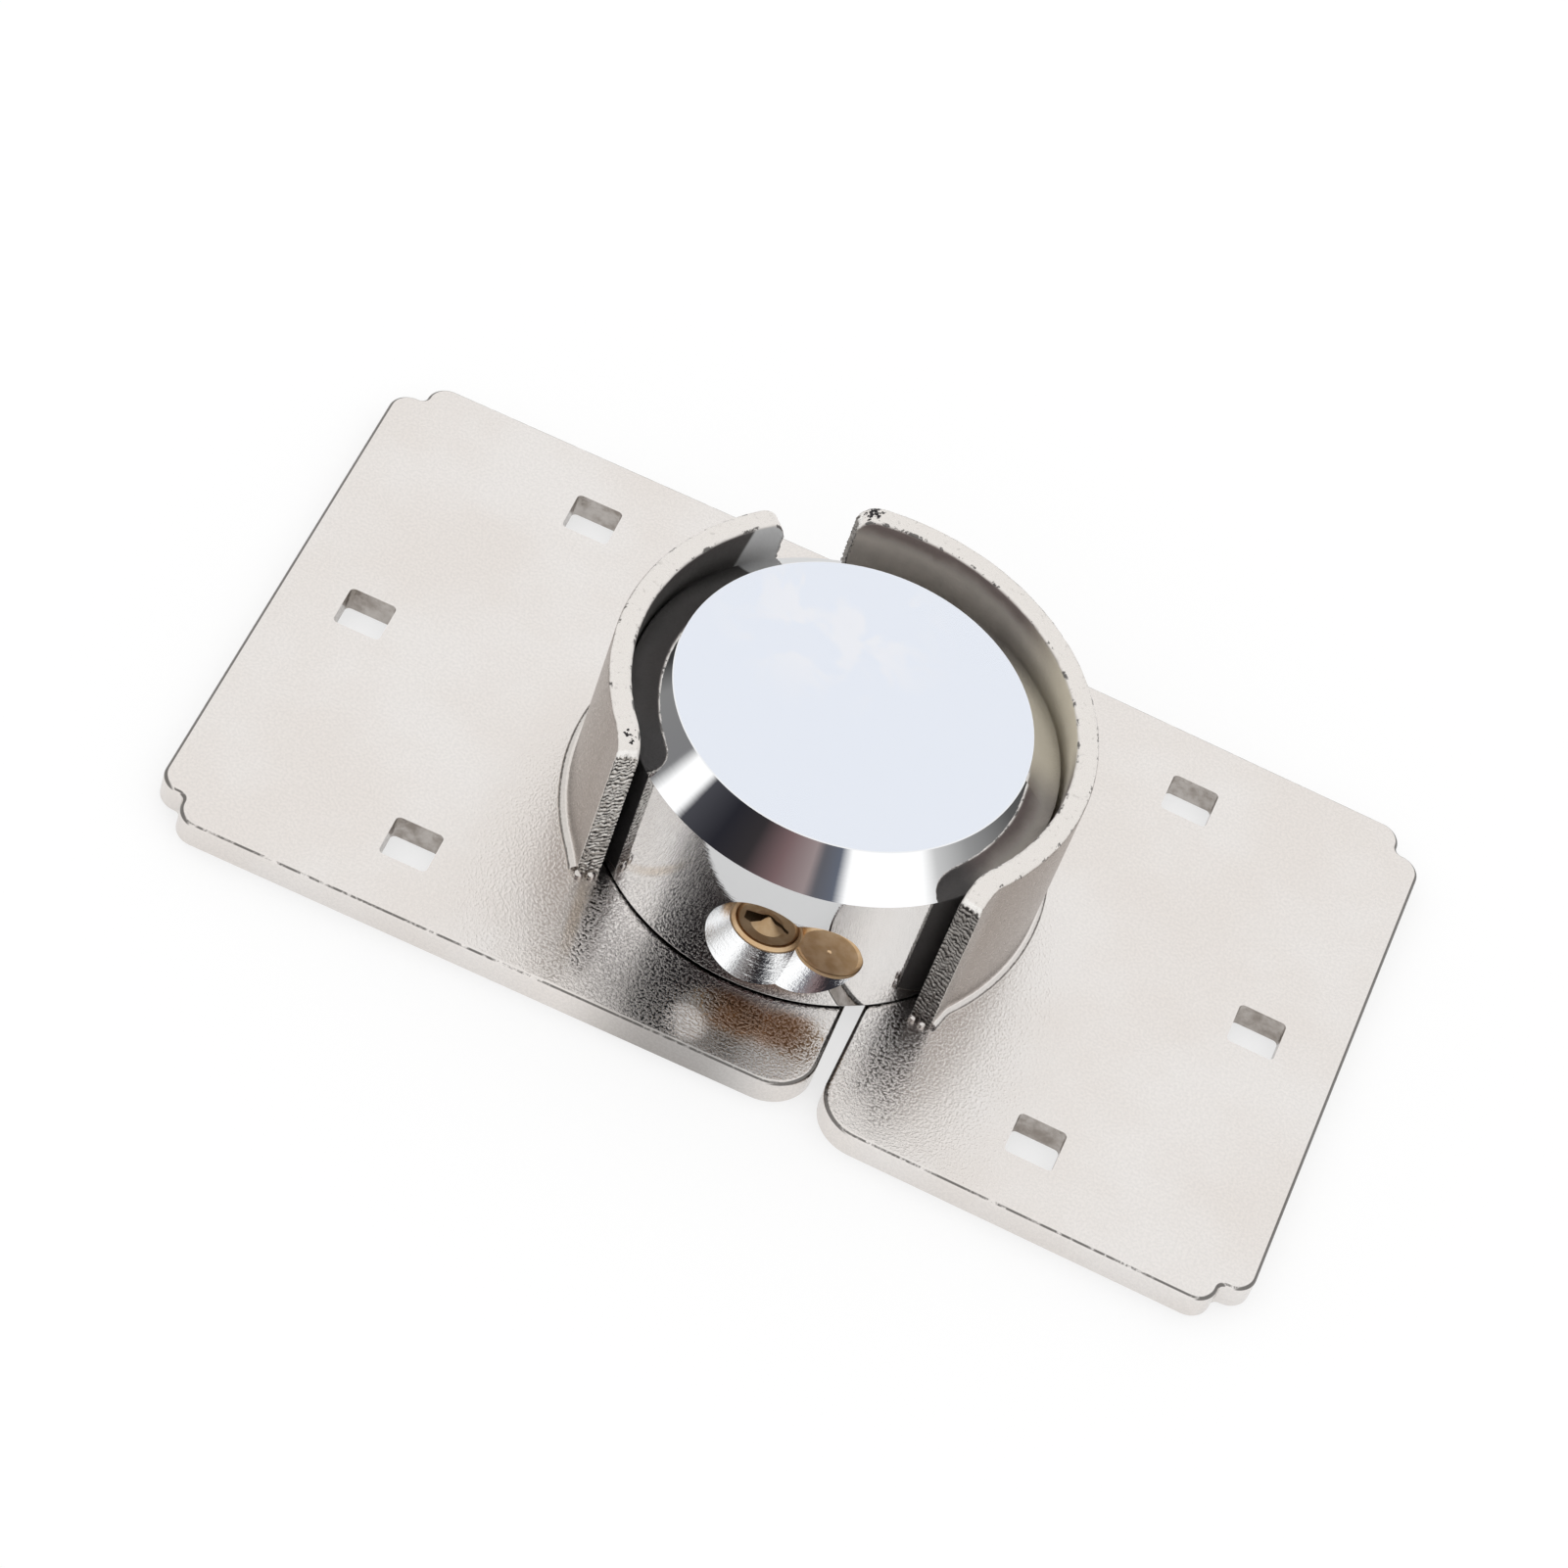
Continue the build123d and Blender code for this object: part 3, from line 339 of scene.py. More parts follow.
def turningMarks(tree, place, axisRange, height, look):
    # the keyhole's cones are what doesn't face straight outwards, between foot and bevel
    normal = addNode(tree, "ShaderNodeTexCoord").outputs["Normal"]
    outward = vectorMath(tree, "NORMALIZE", vectorMath(tree, "MULTIPLY", place, (1, 1, 0)))
    facing = vectorMath(tree, "DOT_PRODUCT", normal, outward)
    cone = product(tree, mathOf(tree, "LESS_THAN", facing, look["coneFacing"]),
                   mathOf(tree, "LESS_THAN", height, look["coneTop"]),
                   mathOf(tree, "GREATER_THAN", height, look["coneFoot"]))
    # marks run round the padlock's axis, and in the cones round each axis of the keyhole
    spans = [mathOf(tree, "SUBTRACT", distanceFrom(tree, place, axis, "y"), radius)
             for axis, radius in ((plugAxis, look["ringRadius"]), (lobeAxis, look["lobeRadius"]))]
    coneSpan = mathOf(tree, "MINIMUM", *spans)
    ringPlace = addNode(tree, "ShaderNodeCombineXYZ", {
        0: mathOf(tree, "MULTIPLY", axisRange, mm), 1: mathOf(tree, "MULTIPLY", height, mm)})
    conePlace = addNode(tree, "ShaderNodeCombineXYZ", {0: mathOf(tree, "MULTIPLY", coneSpan, mm)})
    rings = bumpOf(tree, noiseOf(tree, ringPlace.outputs[0], look["turningSize"], 2, 0.7),
                   look["turningDepth"])
    coneRings = noiseOf(tree, conePlace.outputs[0], look["coneRingSize"], 3, 0.6)
    chatter = noiseOf(tree, place, look["chatterSize"], 3, 0.7)
    marks = product(tree, mathOf(tree, "ADD", coneRings, chatter), cone)
    return bumpOf(tree, marks, look["coneDepth"], before=rings)


def turnedChrome(name, look):
    # the top is satin, and the bevel, wall and cones are mirrors
    material, tree, shader, place = newMetal(name, look["topColour"], look["topRoughness"])
    axisRange = distanceFrom(tree, place, lockAxis, "z")
    height = mathOf(tree, "MULTIPLY", partsOf(tree, place)[2], 1 / mm)
    topHeight, bevelStart, footLine = look["topHeight"], look["bevelStart"], look["footLine"]
    top = product(tree, smoothStep(tree, height, topHeight - look["topEase"], topHeight),
                  smoothStep(tree, axisRange, bevelStart + look["bevelEase"], bevelStart))
    clouds = noiseOf(tree, place, look["smudgeSize"], 4, 0.55, 0.4)
    corner = distanceFrom(tree, place, look["smudgePlace"], "z")
    smudge = product(tree, smoothStep(tree, clouds, *look["smudgeRange"]),
                     smoothStep(tree, corner, *look["smudgeReach"]))
    topColour = mixColour(tree, smudge, look["topColour"], look["smudgeColour"])
    base = mixColour(tree, top, look["sideColour"], topColour)
    # painted shade: a dark line where the body stands on the plates
    paintedShade = smoothStep(tree, height, footLine, footLine - look["footEase"])
    base = mixColour(tree, paintedShade, base, look["footShadeColour"])
    tree.links.new(base, shader.inputs["Base Color"])
    topRough = spreadOf(tree, noiseOf(tree, place, look["topRoughSize"], 3, 0.6),
                        look["topRoughness"], look["topRoughSpread"])
    tree.links.new(product(tree, topRough, top), shader.inputs["Roughness"])
    marks = turningMarks(tree, place, axisRange, height, look)
    tree.links.new(marks, shader.inputs["Normal"])
    return material


brassLook = {     # sizes and depths in mm
    "colour": (0.70, 0.47, 0.26),
    "paleColour": (0.80, 0.59, 0.37), "stainSize": 2.2,
    "dirtColour": (0.16, 0.09, 0.035), "dirtRange": (0.62, 0.75), "dirtShare": 0.35,
    "ringSize": 0.22, "ringDepth": 0.012,
    "roughness": 0.42, "roughSpread": 0.08,
}


def turnedBrass(name, look, axis, shade=1.0):
    material, tree, shader, place = newMetal(name, look["colour"], look["roughness"])
    spread = mathOf(tree, "MULTIPLY", distanceFrom(tree, place, axis, "y"), mm)
    ringPlace = addNode(tree, "ShaderNodeCombineXYZ", {0: spread})
    rings = noiseOf(tree, ringPlace.outputs[0], look["ringSize"], 3, 0.7)
    stains = noiseOf(tree, place, look["stainSize"], 3, 0.6)
    base = mixColour(tree, smoothStep(tree, stains, *cloudRange),
                     shaded(look["colour"], shade), shaded(look["paleColour"], shade))
    dirt = smoothStep(tree, rings, *look["dirtRange"], 0.0, look["dirtShare"])
    base = mixColour(tree, dirt, base, look["dirtColour"])
    tree.links.new(base, shader.inputs["Base Color"])
    rough = spreadOf(tree, stains, look["roughness"], look["roughSpread"])
    tree.links.new(rough, shader.inputs["Roughness"])
    tree.links.new(bumpOf(tree, rings, look["ringDepth"]), shader.inputs["Normal"])
    return material


steelLook = {     # sizes and depths in mm
    "colour": (0.52, 0.52, 0.53), "stainSize": 3, "stainShade": 0.85,
    "roughness": 0.3, "roughSpread": 0.07,
    "markSize": 0.4, "markDepth": 0.01,
}


def machinedSteel(name, look, colour=steelLook["colour"], roughness=steelLook["roughness"]):
    material, tree, shader, place = newMetal(name, colour, roughness)
    marks = noiseOf(tree, place, look["markSize"], 3, 0.6)
    stains = noiseOf(tree, place, look["stainSize"], 3)
    base = mixColour(tree, smoothStep(tree, stains, *cloudRange),
                     shaded(colour, look["stainShade"]), colour)
    tree.links.new(base, shader.inputs["Base Color"])
    rough = spreadOf(tree, marks, roughness, look["roughSpread"])
    tree.links.new(rough, shader.inputs["Roughness"])
    tree.links.new(bumpOf(tree, marks, look["markDepth"]), shader.inputs["Normal"])
    return material


leftPlateNickel = satinNickel("plateNickel", plateLook, nodes["left_plate"])
rightPlateNickel = satinNickel("rightPlateNickel", plateLook, nodes["right_plate"])
lugNickel = satinNickel("lugNickel", plateLook, shade=0.9)
bodyChrome = turnedChrome("bodyChrome", chromeLook)
plugBrass = turnedBrass("plugBrass", brassLook, plugAxis, shade=0.64)
coreBrass = turnedBrass("coreBrass", brassLook, lobeAxis, shade=0.92)
pinBrass = turnedBrass("pinBrass", brassLook, plugAxis)
driveSteel = machinedSteel("driveSteel", steelLook)
boltSteel = machinedSteel("boltSteel", steelLook, colour=(0.58, 0.58, 0.59), roughness=0.2)
screwSteel = machinedSteel("screwSteel", steelLook, colour=(0.30, 0.30, 0.31), roughness=0.35)
springSteel = machinedSteel("springSteel", steelLook, colour=(0.62, 0.62, 0.62), roughness=0.2)
coverZinc = machinedSteel("coverZinc", steelLook, colour=(0.60, 0.61, 0.62), roughness=0.38)

nodeLooks = {
    "left_plate": leftPlateNickel, "right_plate": rightPlateNickel,
    "left_shroud": lugNickel, "right_shroud": lugNickel,
    "left_shroud_weld": lugNickel, "right_shroud_weld": lugNickel,
    "left_lug": lugNickel, "right_lug": lugNickel,
    "left_lug_weld": lugNickel, "right_lug_weld": lugNickel,
    "lock_body": bodyChrome, "base_cover": coverZinc, "cover_screws": screwSteel,
    "core_housing": coreBrass, "core_screw": screwSteel, "driver_pins": pinBrass,
    "chamber_caps": pinBrass, "pin_springs": springSteel, "plug": plugBrass,
    "key_pins": pinBrass, "plug_clip": screwSteel, "drive_pinion": driveSteel,
    "locking_bolt": boltSteel, "bolt_rack": driveSteel, "rack_screw": screwSteel,
}
for nodeName, material in nodeLooks.items():
    mesh = nodes[nodeName].data
    mesh.materials.clear()
    mesh.materials.append(material)
print("materials made")


barShape = {     # mm
    "thickness": 3.8, "foot": 5.0, "top": 38.5,
    "edgeRound": 0.7, "endRound": 3.6, "lipBend": 8.0,
    "stepLength": 1.3, "rows": 150, "columns": 16, "easeSteps": 6, "roundSteps": 9,
    "chipPitch": 0.95, "chipDepth": 0.42, "chipReach": 0.8,
    "chipSlant": 0.35, "chipDrift": 1.1, "chipTear": 0.35,
    "edgeWear": 0.12, "hammerDepth": 0.07,
    # how fast each noise changes, per mm along and across
    "driftRate": (1.1, 0.3), "tearRate": (2.0, 2.0),
    "wearRate": (1.4, 2.0), "hammerRate": (0.55, 0.6),
}
shroudShapes = {     # angles in degrees from the east, the rest in mm
    "left": {"centre": (3.95, 0.9), "radius": 42.75, "backAngle": 131.5, "frontAngle": 214.0,
             "lipTurn": 5.0, "lipLength": 4.5, "weldFrom": 131.5, "seed": 2.0},
    "right": {"centre": (-2.3, 1.2), "radius": 41.4, "backAngle": 105.0, "frontAngle": -33.0,
              "lipTurn": 20.0, "lipLength": 3.6, "weldFrom": 53.0, "seed": 5.0},
}


# what each point of a bar carries for its material
shareNames = ("topShare", "insideShare", "endShare", "backDistance", "chipShare")


def noiseAt(first, second, rate, seed):
    return noise.noise(Vector((first * rate[0], second * rate[1], seed)))


def pathLengths(shape):
    # the round part, the lip's bend and the lip's straight end
    main = shape["radius"] * abs(radians(shape["frontAngle"] - shape["backAngle"]))
    return main, barShape["lipBend"] * radians(shape["lipTurn"]), shape["lipLength"]


def pathPoint(shape, along):
    # place, direction of travel and outward direction, in plan, at a length along the bar
    sense = 1 if shape["frontAngle"] > shape["backAngle"] else -1
    main, bend = pathLengths(shape)[:2]
    turn = radians(shape["backAngle"]) + sense * min(along, main) / shape["radius"]
    outward = Vector((cos(turn), sin(turn), 0))
    travel = Vector((-sin(turn), cos(turn), 0)) * sense
    place = Vector((*shape["centre"], 0)) + outward * shape["radius"]
    if along > main:
        lipCentre = place + outward * barShape["lipBend"]
        lipTurn = turn + pi - sense * min(along - main, bend) / barShape["lipBend"]
        inward = Vector((cos(lipTurn), sin(lipTurn), 0))
        place = lipCentre + inward * barShape["lipBend"]
        outward = -inward
        travel = Vector((sin(lipTurn), -cos(lipTurn), 0)) * sense
        if along > main + bend:
            place = place + travel * (along - main - bend)
    return place, travel, outward


def barSection(top):
    # (sideways, height, on top, inside) round the bar, starting at the outer foot
    half, foot, ease = barShape["thickness"] / 2, barShape["foot"], barShape["edgeRound"]
    rows, columns, steps = barShape["rows"], barShape["columns"], barShape["easeSteps"]
    tall, wide = top - ease - foot, half - ease
    turns = [pi / 2 * i / steps for i in range(steps)]
    points = [(half, foot + tall * i / rows, 0.0, 0.0) for i in range(rows)]
    points += [(wide + ease * cos(turn), top - ease + ease * sin(turn), i / steps, 0.0)
               for i, turn in enumerate(turns)]
    points += [(wide - 2 * wide * i / columns, top, 1.0, 0.0) for i in range(columns)]
    points += [(-wide - ease * sin(turn), top - ease + ease * cos(turn), 1 - i / steps, i / steps)
               for i, turn in enumerate(turns)]
    points += [(-half, foot + tall * (1 - i / rows), 0.0, 1.0) for i in range(rows)]
    points += [(-half + 2 * half * i / columns, foot, 0.0, 0.0) for i in range(columns)]
    return points


def chipOf(sideways, height, seed):
    # sheared steel: short slanting steps, torn where they meet
    drift = noiseAt(sideways, height, barShape["driftRate"], seed)
    phase = (height / barShape["chipPitch"] + barShape["chipSlant"] * sideways
             + barShape["chipDrift"] * drift)
    fine = noiseAt(sideways, height, barShape["tearRate"], seed + 7.3)
    return phase - floor(phase) - 0.5 + barShape["chipTear"] * fine


def endRows(ringSize):
    # a ring's points by the rows of its end grid: the foot, facing pairs up the sides, the top
    rows, columns, steps = barShape["rows"], barShape["columns"], barShape["easeSteps"]
    innerEase = rows + steps + columns
    inner = innerEase + steps
    pairs = [(i, inner + rows - i) for i in range(1, rows)]
    pairs.append((rows, inner))
    pairs += [(rows + i, innerEase + steps - i) for i in range(1, steps)]
    footRow = [0] + [ringSize - i for i in range(1, columns + 1)]
    topRow = [rows + steps + i for i in range(columns + 1)]
    return footRow, pairs, topRow


def ringStops(length):
    # lengths along the bar, closer together in its rounded ends
    endRound, steps = barShape["endRound"], barShape["roundSteps"]
    ends = [endRound * (1 - cos(pi / 2 * i / steps)) for i in range(steps)]
    count = int((length - 2 * endRound) / barShape["stepLength"])
    middle = [endRound + (length - 2 * endRound) * i / count for i in range(count + 1)]
    return ends + middle + [length - value for value in reversed(ends)]


def buildShroud(name, shape):
    length = sum(pathLengths(shape))
    endRound, seed, columns = barShape["endRound"], shape["seed"], barShape["columns"]
    stops = ringStops(length)
    vertices, faces = [], []
    shares = {key: [] for key in shareNames}

    def addPoint(along, sideways, height, onTop, inside):
        place, travel, outward = pathPoint(shape, along)
        nearest = min(along, length - along)
        endWear = max(0.0, 1 - nearest / barShape["chipReach"])
        sign = 1 if along > length / 2 else -1
        chip = chipOf(sideways, height, seed + sign)
        wear = endWear * barShape["chipDepth"] * chip
        hammer = barShape["hammerDepth"] * noiseAt(along, sideways, barShape["hammerRate"], seed)
        ragged = barShape["edgeWear"] * noiseAt(along, sideways, barShape["wearRate"], seed + 11)
        rim = onTop * (1 - onTop) * 4
        spot = place + outward * (sideways + ragged * rim) + travel * (sign * wear)
        spot.z = height + hammer * onTop - abs(ragged) * rim
        vertices.append(spot * mm)
        for key, value in zip(shares, (onTop, inside, endWear, along, chip)):
            shares[key].append(value)

    for along in stops:
        nearest = min(along, length - along)
        drop = 0.0
        if nearest < endRound:
            drop = endRound - sqrt(max(0.0, endRound ** 2 - (endRound - nearest) ** 2))
        section = barSection(barShape["top"] - drop)
        for point in section:
            addPoint(along, *point)
    ringSize = len(section)
    lastRing = (len(stops) - 1) * ringSize
    for low in range(0, lastRing, ringSize):
        high = low + ringSize
        for i in range(ringSize):
            j = (i + 1) % ringSize
            faces.append((low + i, low + j, high + j, high + i))
    # each end closes in a grid between its two sides, fine enough to carry the torn face
    footRow, pairs, topRow = endRows(ringSize)
    for along, first in ((0.0, 0), (length, lastRing)):
        grid = [[first + i for i in footRow]]
        for near, far in pairs:
            start = len(vertices)
            wide, height = section[near][:2]
            for column in range(1, columns):
                addPoint(along, wide - 2 * wide * column / columns, height, 0.0, 0.0)
            inBetween = list(range(start, start + columns - 1))
            grid.append([first + near] + inBetween + [first + far])
        grid.append([first + i for i in topRow])
        for low, high in zip(grid, grid[1:]):
            for i in range(columns):
                quad = (low[i], low[i + 1], high[i + 1], high[i])
                faces.append(quad if first == 0 else quad[::-1])
    mesh = bpy.data.meshes.new(name)
    mesh.from_pydata(vertices, [], faces)
    for key, values in shares.items():
        mesh.attributes.new(key, "FLOAT", "POINT").data.foreach_set("value", values)
    work = bmesh.new()
    work.from_mesh(mesh)
    bmesh.ops.recalc_face_normals(work, faces=work.faces)
    for face in work.faces:
        face.smooth = True
    work.to_mesh(mesh)
    work.free()
    return addObject(name, mesh)


shroudLook = {     # sizes, depths, heights and northings in mm
    "outerColour": (0.43, 0.385, 0.355), "topColour": (0.80, 0.765, 0.73),
    "roughness": 0.30, "roughBelow": 0.06, "roughAbove": 0.08,
    "innerRoughness": 0.55, "innerMetal": 0.4,
    "cloudSize": 9, "cloudShade": 0.8, "rimHeight": (36, 39.5), "rimWaver": 4, "rimShare": 0.85,
    "sunnyNorth": (2, 14), "sunnyWest": (0.5, 0.85), "sunnyShare": 0.85,
    "frontShadeColour": (0.07, 0.066, 0.066), "frontNorth": (-14, -22), "frontShare": 0.9,
    "facetLean": 0.25, "facetHeight": 32, "facetEase": 0.4,
    "chipColour": (0.05, 0.046, 0.044), "dirtShare": 0.85,
    "tornSize": 2.6, "outerTorn": (0.56, 0.62), "innerTorn": (0.48, 0.58), "dirtEdge": (0.45, 0.9),
    "hatchSize": 0.7, "hatchShare": 0.4, "hatchRange": (-0.12, 0.25),
    "edgeHighlightColour": (0.92, 0.90, 0.87), "edgeHighlightShare": 0.85,
    # shares of a bar's point where the top, the end faces and the ends' edges start and stop
    "topFrom": (0.1, 0.6), "faceFrom": (0.75, 1.0), "edgeFrom": (0.25, 0.5), "edgeTo": (0.97, 0.85),
    "slagColour": (0.03, 0.028, 0.03), "slagWaver": 7, "slagGloss": 0.16, "slagCore": 0.75,
    "grainSize": 0.5, "grainDepth": 0.05,
    "pitSize": 0.9, "pitDepth": 0.24, "pitRange": (0.61, 0.68), "pitDirt": 0.2,
}
shroudFinishes = {     # slag: east, north, up and radius of each dark spot, in mm
    # the left's inner side is near black, which is painted shade, and it is paler at the back end
    "left": {"innerColour": (0.10, 0.094, 0.09), "rimShadeColour": (0.06, 0.052, 0.05),
             "facetReach": 8.0, "facetColour": (0.55, 0.55, 0.55),
             "crestHighlightColour": (0.76, 0.73, 0.69), "slag": [(-29.8, -25.4, 38.4, 0.7)]},
    "right": {"innerColour": (0.52, 0.475, 0.43), "rimShadeColour": (0.12, 0.085, 0.08),
              "sunnyHighlightColour": (0.86, 0.79, 0.64), "crestHighlightColour": (0.36, 0.34, 0.32),
              "slag": [(-11.0, 42.4, 37.6, 1.6), (26.7, -23.7, 38.3, 1.1)]},
}


def innerNickel(tree, place, clouds, backDistance, look, finish):
    # the inner side: painted shade under the rim and in front, and on the right a painted highlight
    # to the north
    north, height = partsOf(tree, place)[1:]
    inner = mixColour(tree, smoothStep(tree, clouds, *cloudRange),
                      shaded(finish["innerColour"], look["cloudShade"]), finish["innerColour"])
    # painted shade under the rim
    wavy = mathOf(tree, "MULTIPLY_ADD", clouds, look["rimWaver"] * mm, height)
    underRim = smoothStep(tree, wavy, *inMetres(look["rimHeight"]), 0.0, look["rimShare"])
    inner = mixColour(tree, underRim, inner, finish["rimShadeColour"])
    # a painted highlight, beige, on faces that look west, to the north
    if "sunnyHighlightColour" in finish:
        west = mathOf(tree, "MULTIPLY", facingOf(tree)[0], -1)
        sunny = product(tree, smoothStep(tree, west, *look["sunnyWest"]),
                        smoothStep(tree, north, *inMetres(look["sunnyNorth"])), look["sunnyShare"])
        inner = mixColour(tree, sunny, inner, finish["sunnyHighlightColour"])
    # painted shade towards the front
    inFront = smoothStep(tree, north, *inMetres(look["frontNorth"]), 0.0, look["frontShare"])
    inner = mixColour(tree, inFront, inner, look["frontShadeColour"])
    if "facetColour" in finish:
        # a paler facet at the back end, with a slanting edge
        slanted = mathOf(tree, "MULTIPLY_ADD", height, look["facetLean"] / mm, backDistance)
        edge = finish["facetReach"] + look["facetLean"] * look["facetHeight"]
        facet = smoothStep(tree, slanted, edge + look["facetEase"], edge - look["facetEase"])
        inner = mixColour(tree, facet, inner, finish["facetColour"])
    return inner


def topDirt(tree, place, pits, topShare, insideShare, look):
    # dirt stays in the pits and along both edges of the top
    inPits = smoothStep(tree, pits, *look["pitRange"], 0.0, look["pitDirt"])
    inPits = product(tree, inPits, topShare)
    torn = noiseOf(tree, place, look["tornSize"], 5, 0.75)
    # a share times its rest is a quarter at most, so four times that is 1 halfway round an edge
    outerRim = product(tree, topShare, mathOf(tree, "SUBTRACT", 1.0, topShare), 4.0,
                       smoothStep(tree, torn, *look["outerTorn"]))
    innerRim = product(tree, topShare, insideShare, 4.0,
                       smoothStep(tree, torn, *look["innerTorn"]))
    onRims = smoothStep(tree, mathOf(tree, "MAXIMUM", outerRim, innerRim), *look["dirtEdge"])
    return product(tree, mathOf(tree, "MAXIMUM", inPits, onRims), look["dirtShare"])


def slagMask(tree, place, pits, spots, look):
    slag = 0.0
    for *spot, radius in spots:
        reach = vectorMath(tree, "LENGTH", vectorMath(tree, "ADD", place, [-s * mm for s in spot]))
        wavy = mathOf(tree, "MULTIPLY_ADD", mathOf(tree, "SUBTRACT", pits, 0.5),
                      look["slagWaver"] * mm, reach)
        dark = smoothStep(tree, wavy, radius * mm, radius * look["slagCore"] * mm)
        slag = mathOf(tree, "MAXIMUM", slag, dark)
    return slag


def shroudNickel(name, look, finish):
    material, tree, shader, place = newMetal(name, look["outerColour"], look["roughness"])
    topShare, insideShare, endShare, backDistance, chipShare = (
        addNode(tree, "ShaderNodeAttribute", attribute_name=key).outputs["Fac"]
        for key in shareNames)
    grain = noiseOf(tree, place, look["grainSize"], 3, 0.65)
    clouds = noiseOf(tree, place, look["cloudSize"], 3, 0.6)
    pits = noiseOf(tree, place, look["pitSize"], 3, 0.6)
    inner = innerNickel(tree, place, clouds, backDistance, look, finish)
    base = mixColour(tree, insideShare, look["outerColour"], inner)
    base = mixColour(tree, smoothStep(tree, topShare, *look["topFrom"]), base, look["topColour"])
    dirt = topDirt(tree, place, pits, topShare, insideShare, look)
    base = mixColour(tree, dirt, base, look["chipColour"])
    # the sheared ends get painted highlights on their crests and painted shade in their steps
    hatch = mathOf(tree, "MULTIPLY_ADD", noiseOf(tree, place, look["hatchSize"], 3, 0.6),
                   look["hatchShare"], chipShare)
    torn = mixColour(tree, smoothStep(tree, hatch, *look["hatchRange"]),
                     look["chipColour"], finish["crestHighlightColour"])
    endFace = smoothStep(tree, endShare, *look["faceFrom"])
    base = mixColour(tree, endFace, base, torn)
    # a painted highlight: a bright line runs round the ends' outer edges
    edge = product(tree, smoothStep(tree, endShare, *look["edgeFrom"]),
                   smoothStep(tree, endShare, *look["edgeTo"]),
                   mathOf(tree, "SUBTRACT", 1.0, insideShare), look["edgeHighlightShare"])
    base = mixColour(tree, edge, base, look["edgeHighlightColour"])
    slag = slagMask(tree, place, pits, finish["slag"], look)
    base = mixColour(tree, slag, base, look["slagColour"])
    tree.links.new(base, shader.inputs["Base Color"])
    rough = smoothStep(tree, grain, *noiseSpan, look["roughness"] - look["roughBelow"],
                       look["roughness"] + look["roughAbove"])
    rough = mathOf(tree, "MULTIPLY_ADD", insideShare,
                   look["innerRoughness"] - look["roughness"], rough)
    rough = mathOf(tree, "MULTIPLY_ADD", slag, -look["slagGloss"], rough)
    tree.links.new(rough, shader.inputs["Roughness"])
    metal = mathOf(tree, "MULTIPLY_ADD", insideShare, look["innerMetal"] - 1, 1.0)
    tree.links.new(metal, shader.inputs["Metallic"])
    first = bumpOf(tree, grain, look["grainDepth"])
    pitHeight = product(tree, pits, mathOf(tree, "MAXIMUM", topShare, endFace))
    tree.links.new(bumpOf(tree, pitHeight, look["pitDepth"], before=first), shader.inputs["Normal"])
    return material


for side, shape in shroudShapes.items():
    shroud = buildShroud(side + "ShroudBar", shape)
    finished = shroudNickel(side + "ShroudNickel", shroudLook, shroudFinishes[side])
    shroud.data.materials.append(finished)
    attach(shroud, "hasp")
    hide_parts(side + "_shroud")
print("shrouds built")


weldShape = {     # mm
    "beadRadius": 1.45, "drop": 0.1, "stepLength": 0.3, "stopShort": 0.4,
    "pathPoints": 120, "roundPoints": 22,
    "rippleSpacing": 1.7, "rippleDepth": 0.025,          # the depth is a share of the radius
    "middleWidth": 0.97, "wander": 0.06, "wanderRate": 160.0, "seedStep": 0.37,
    "endBead": 0.85, "endBeadOut": 0.5, "endBeadUp": 0.4,
    "seed": 4,
    "lugBeadScale": 0.8, "lugSide": 4.75, "lugStart": -0.8, "lugStep": 0.8, "lugPoints": 23,
}


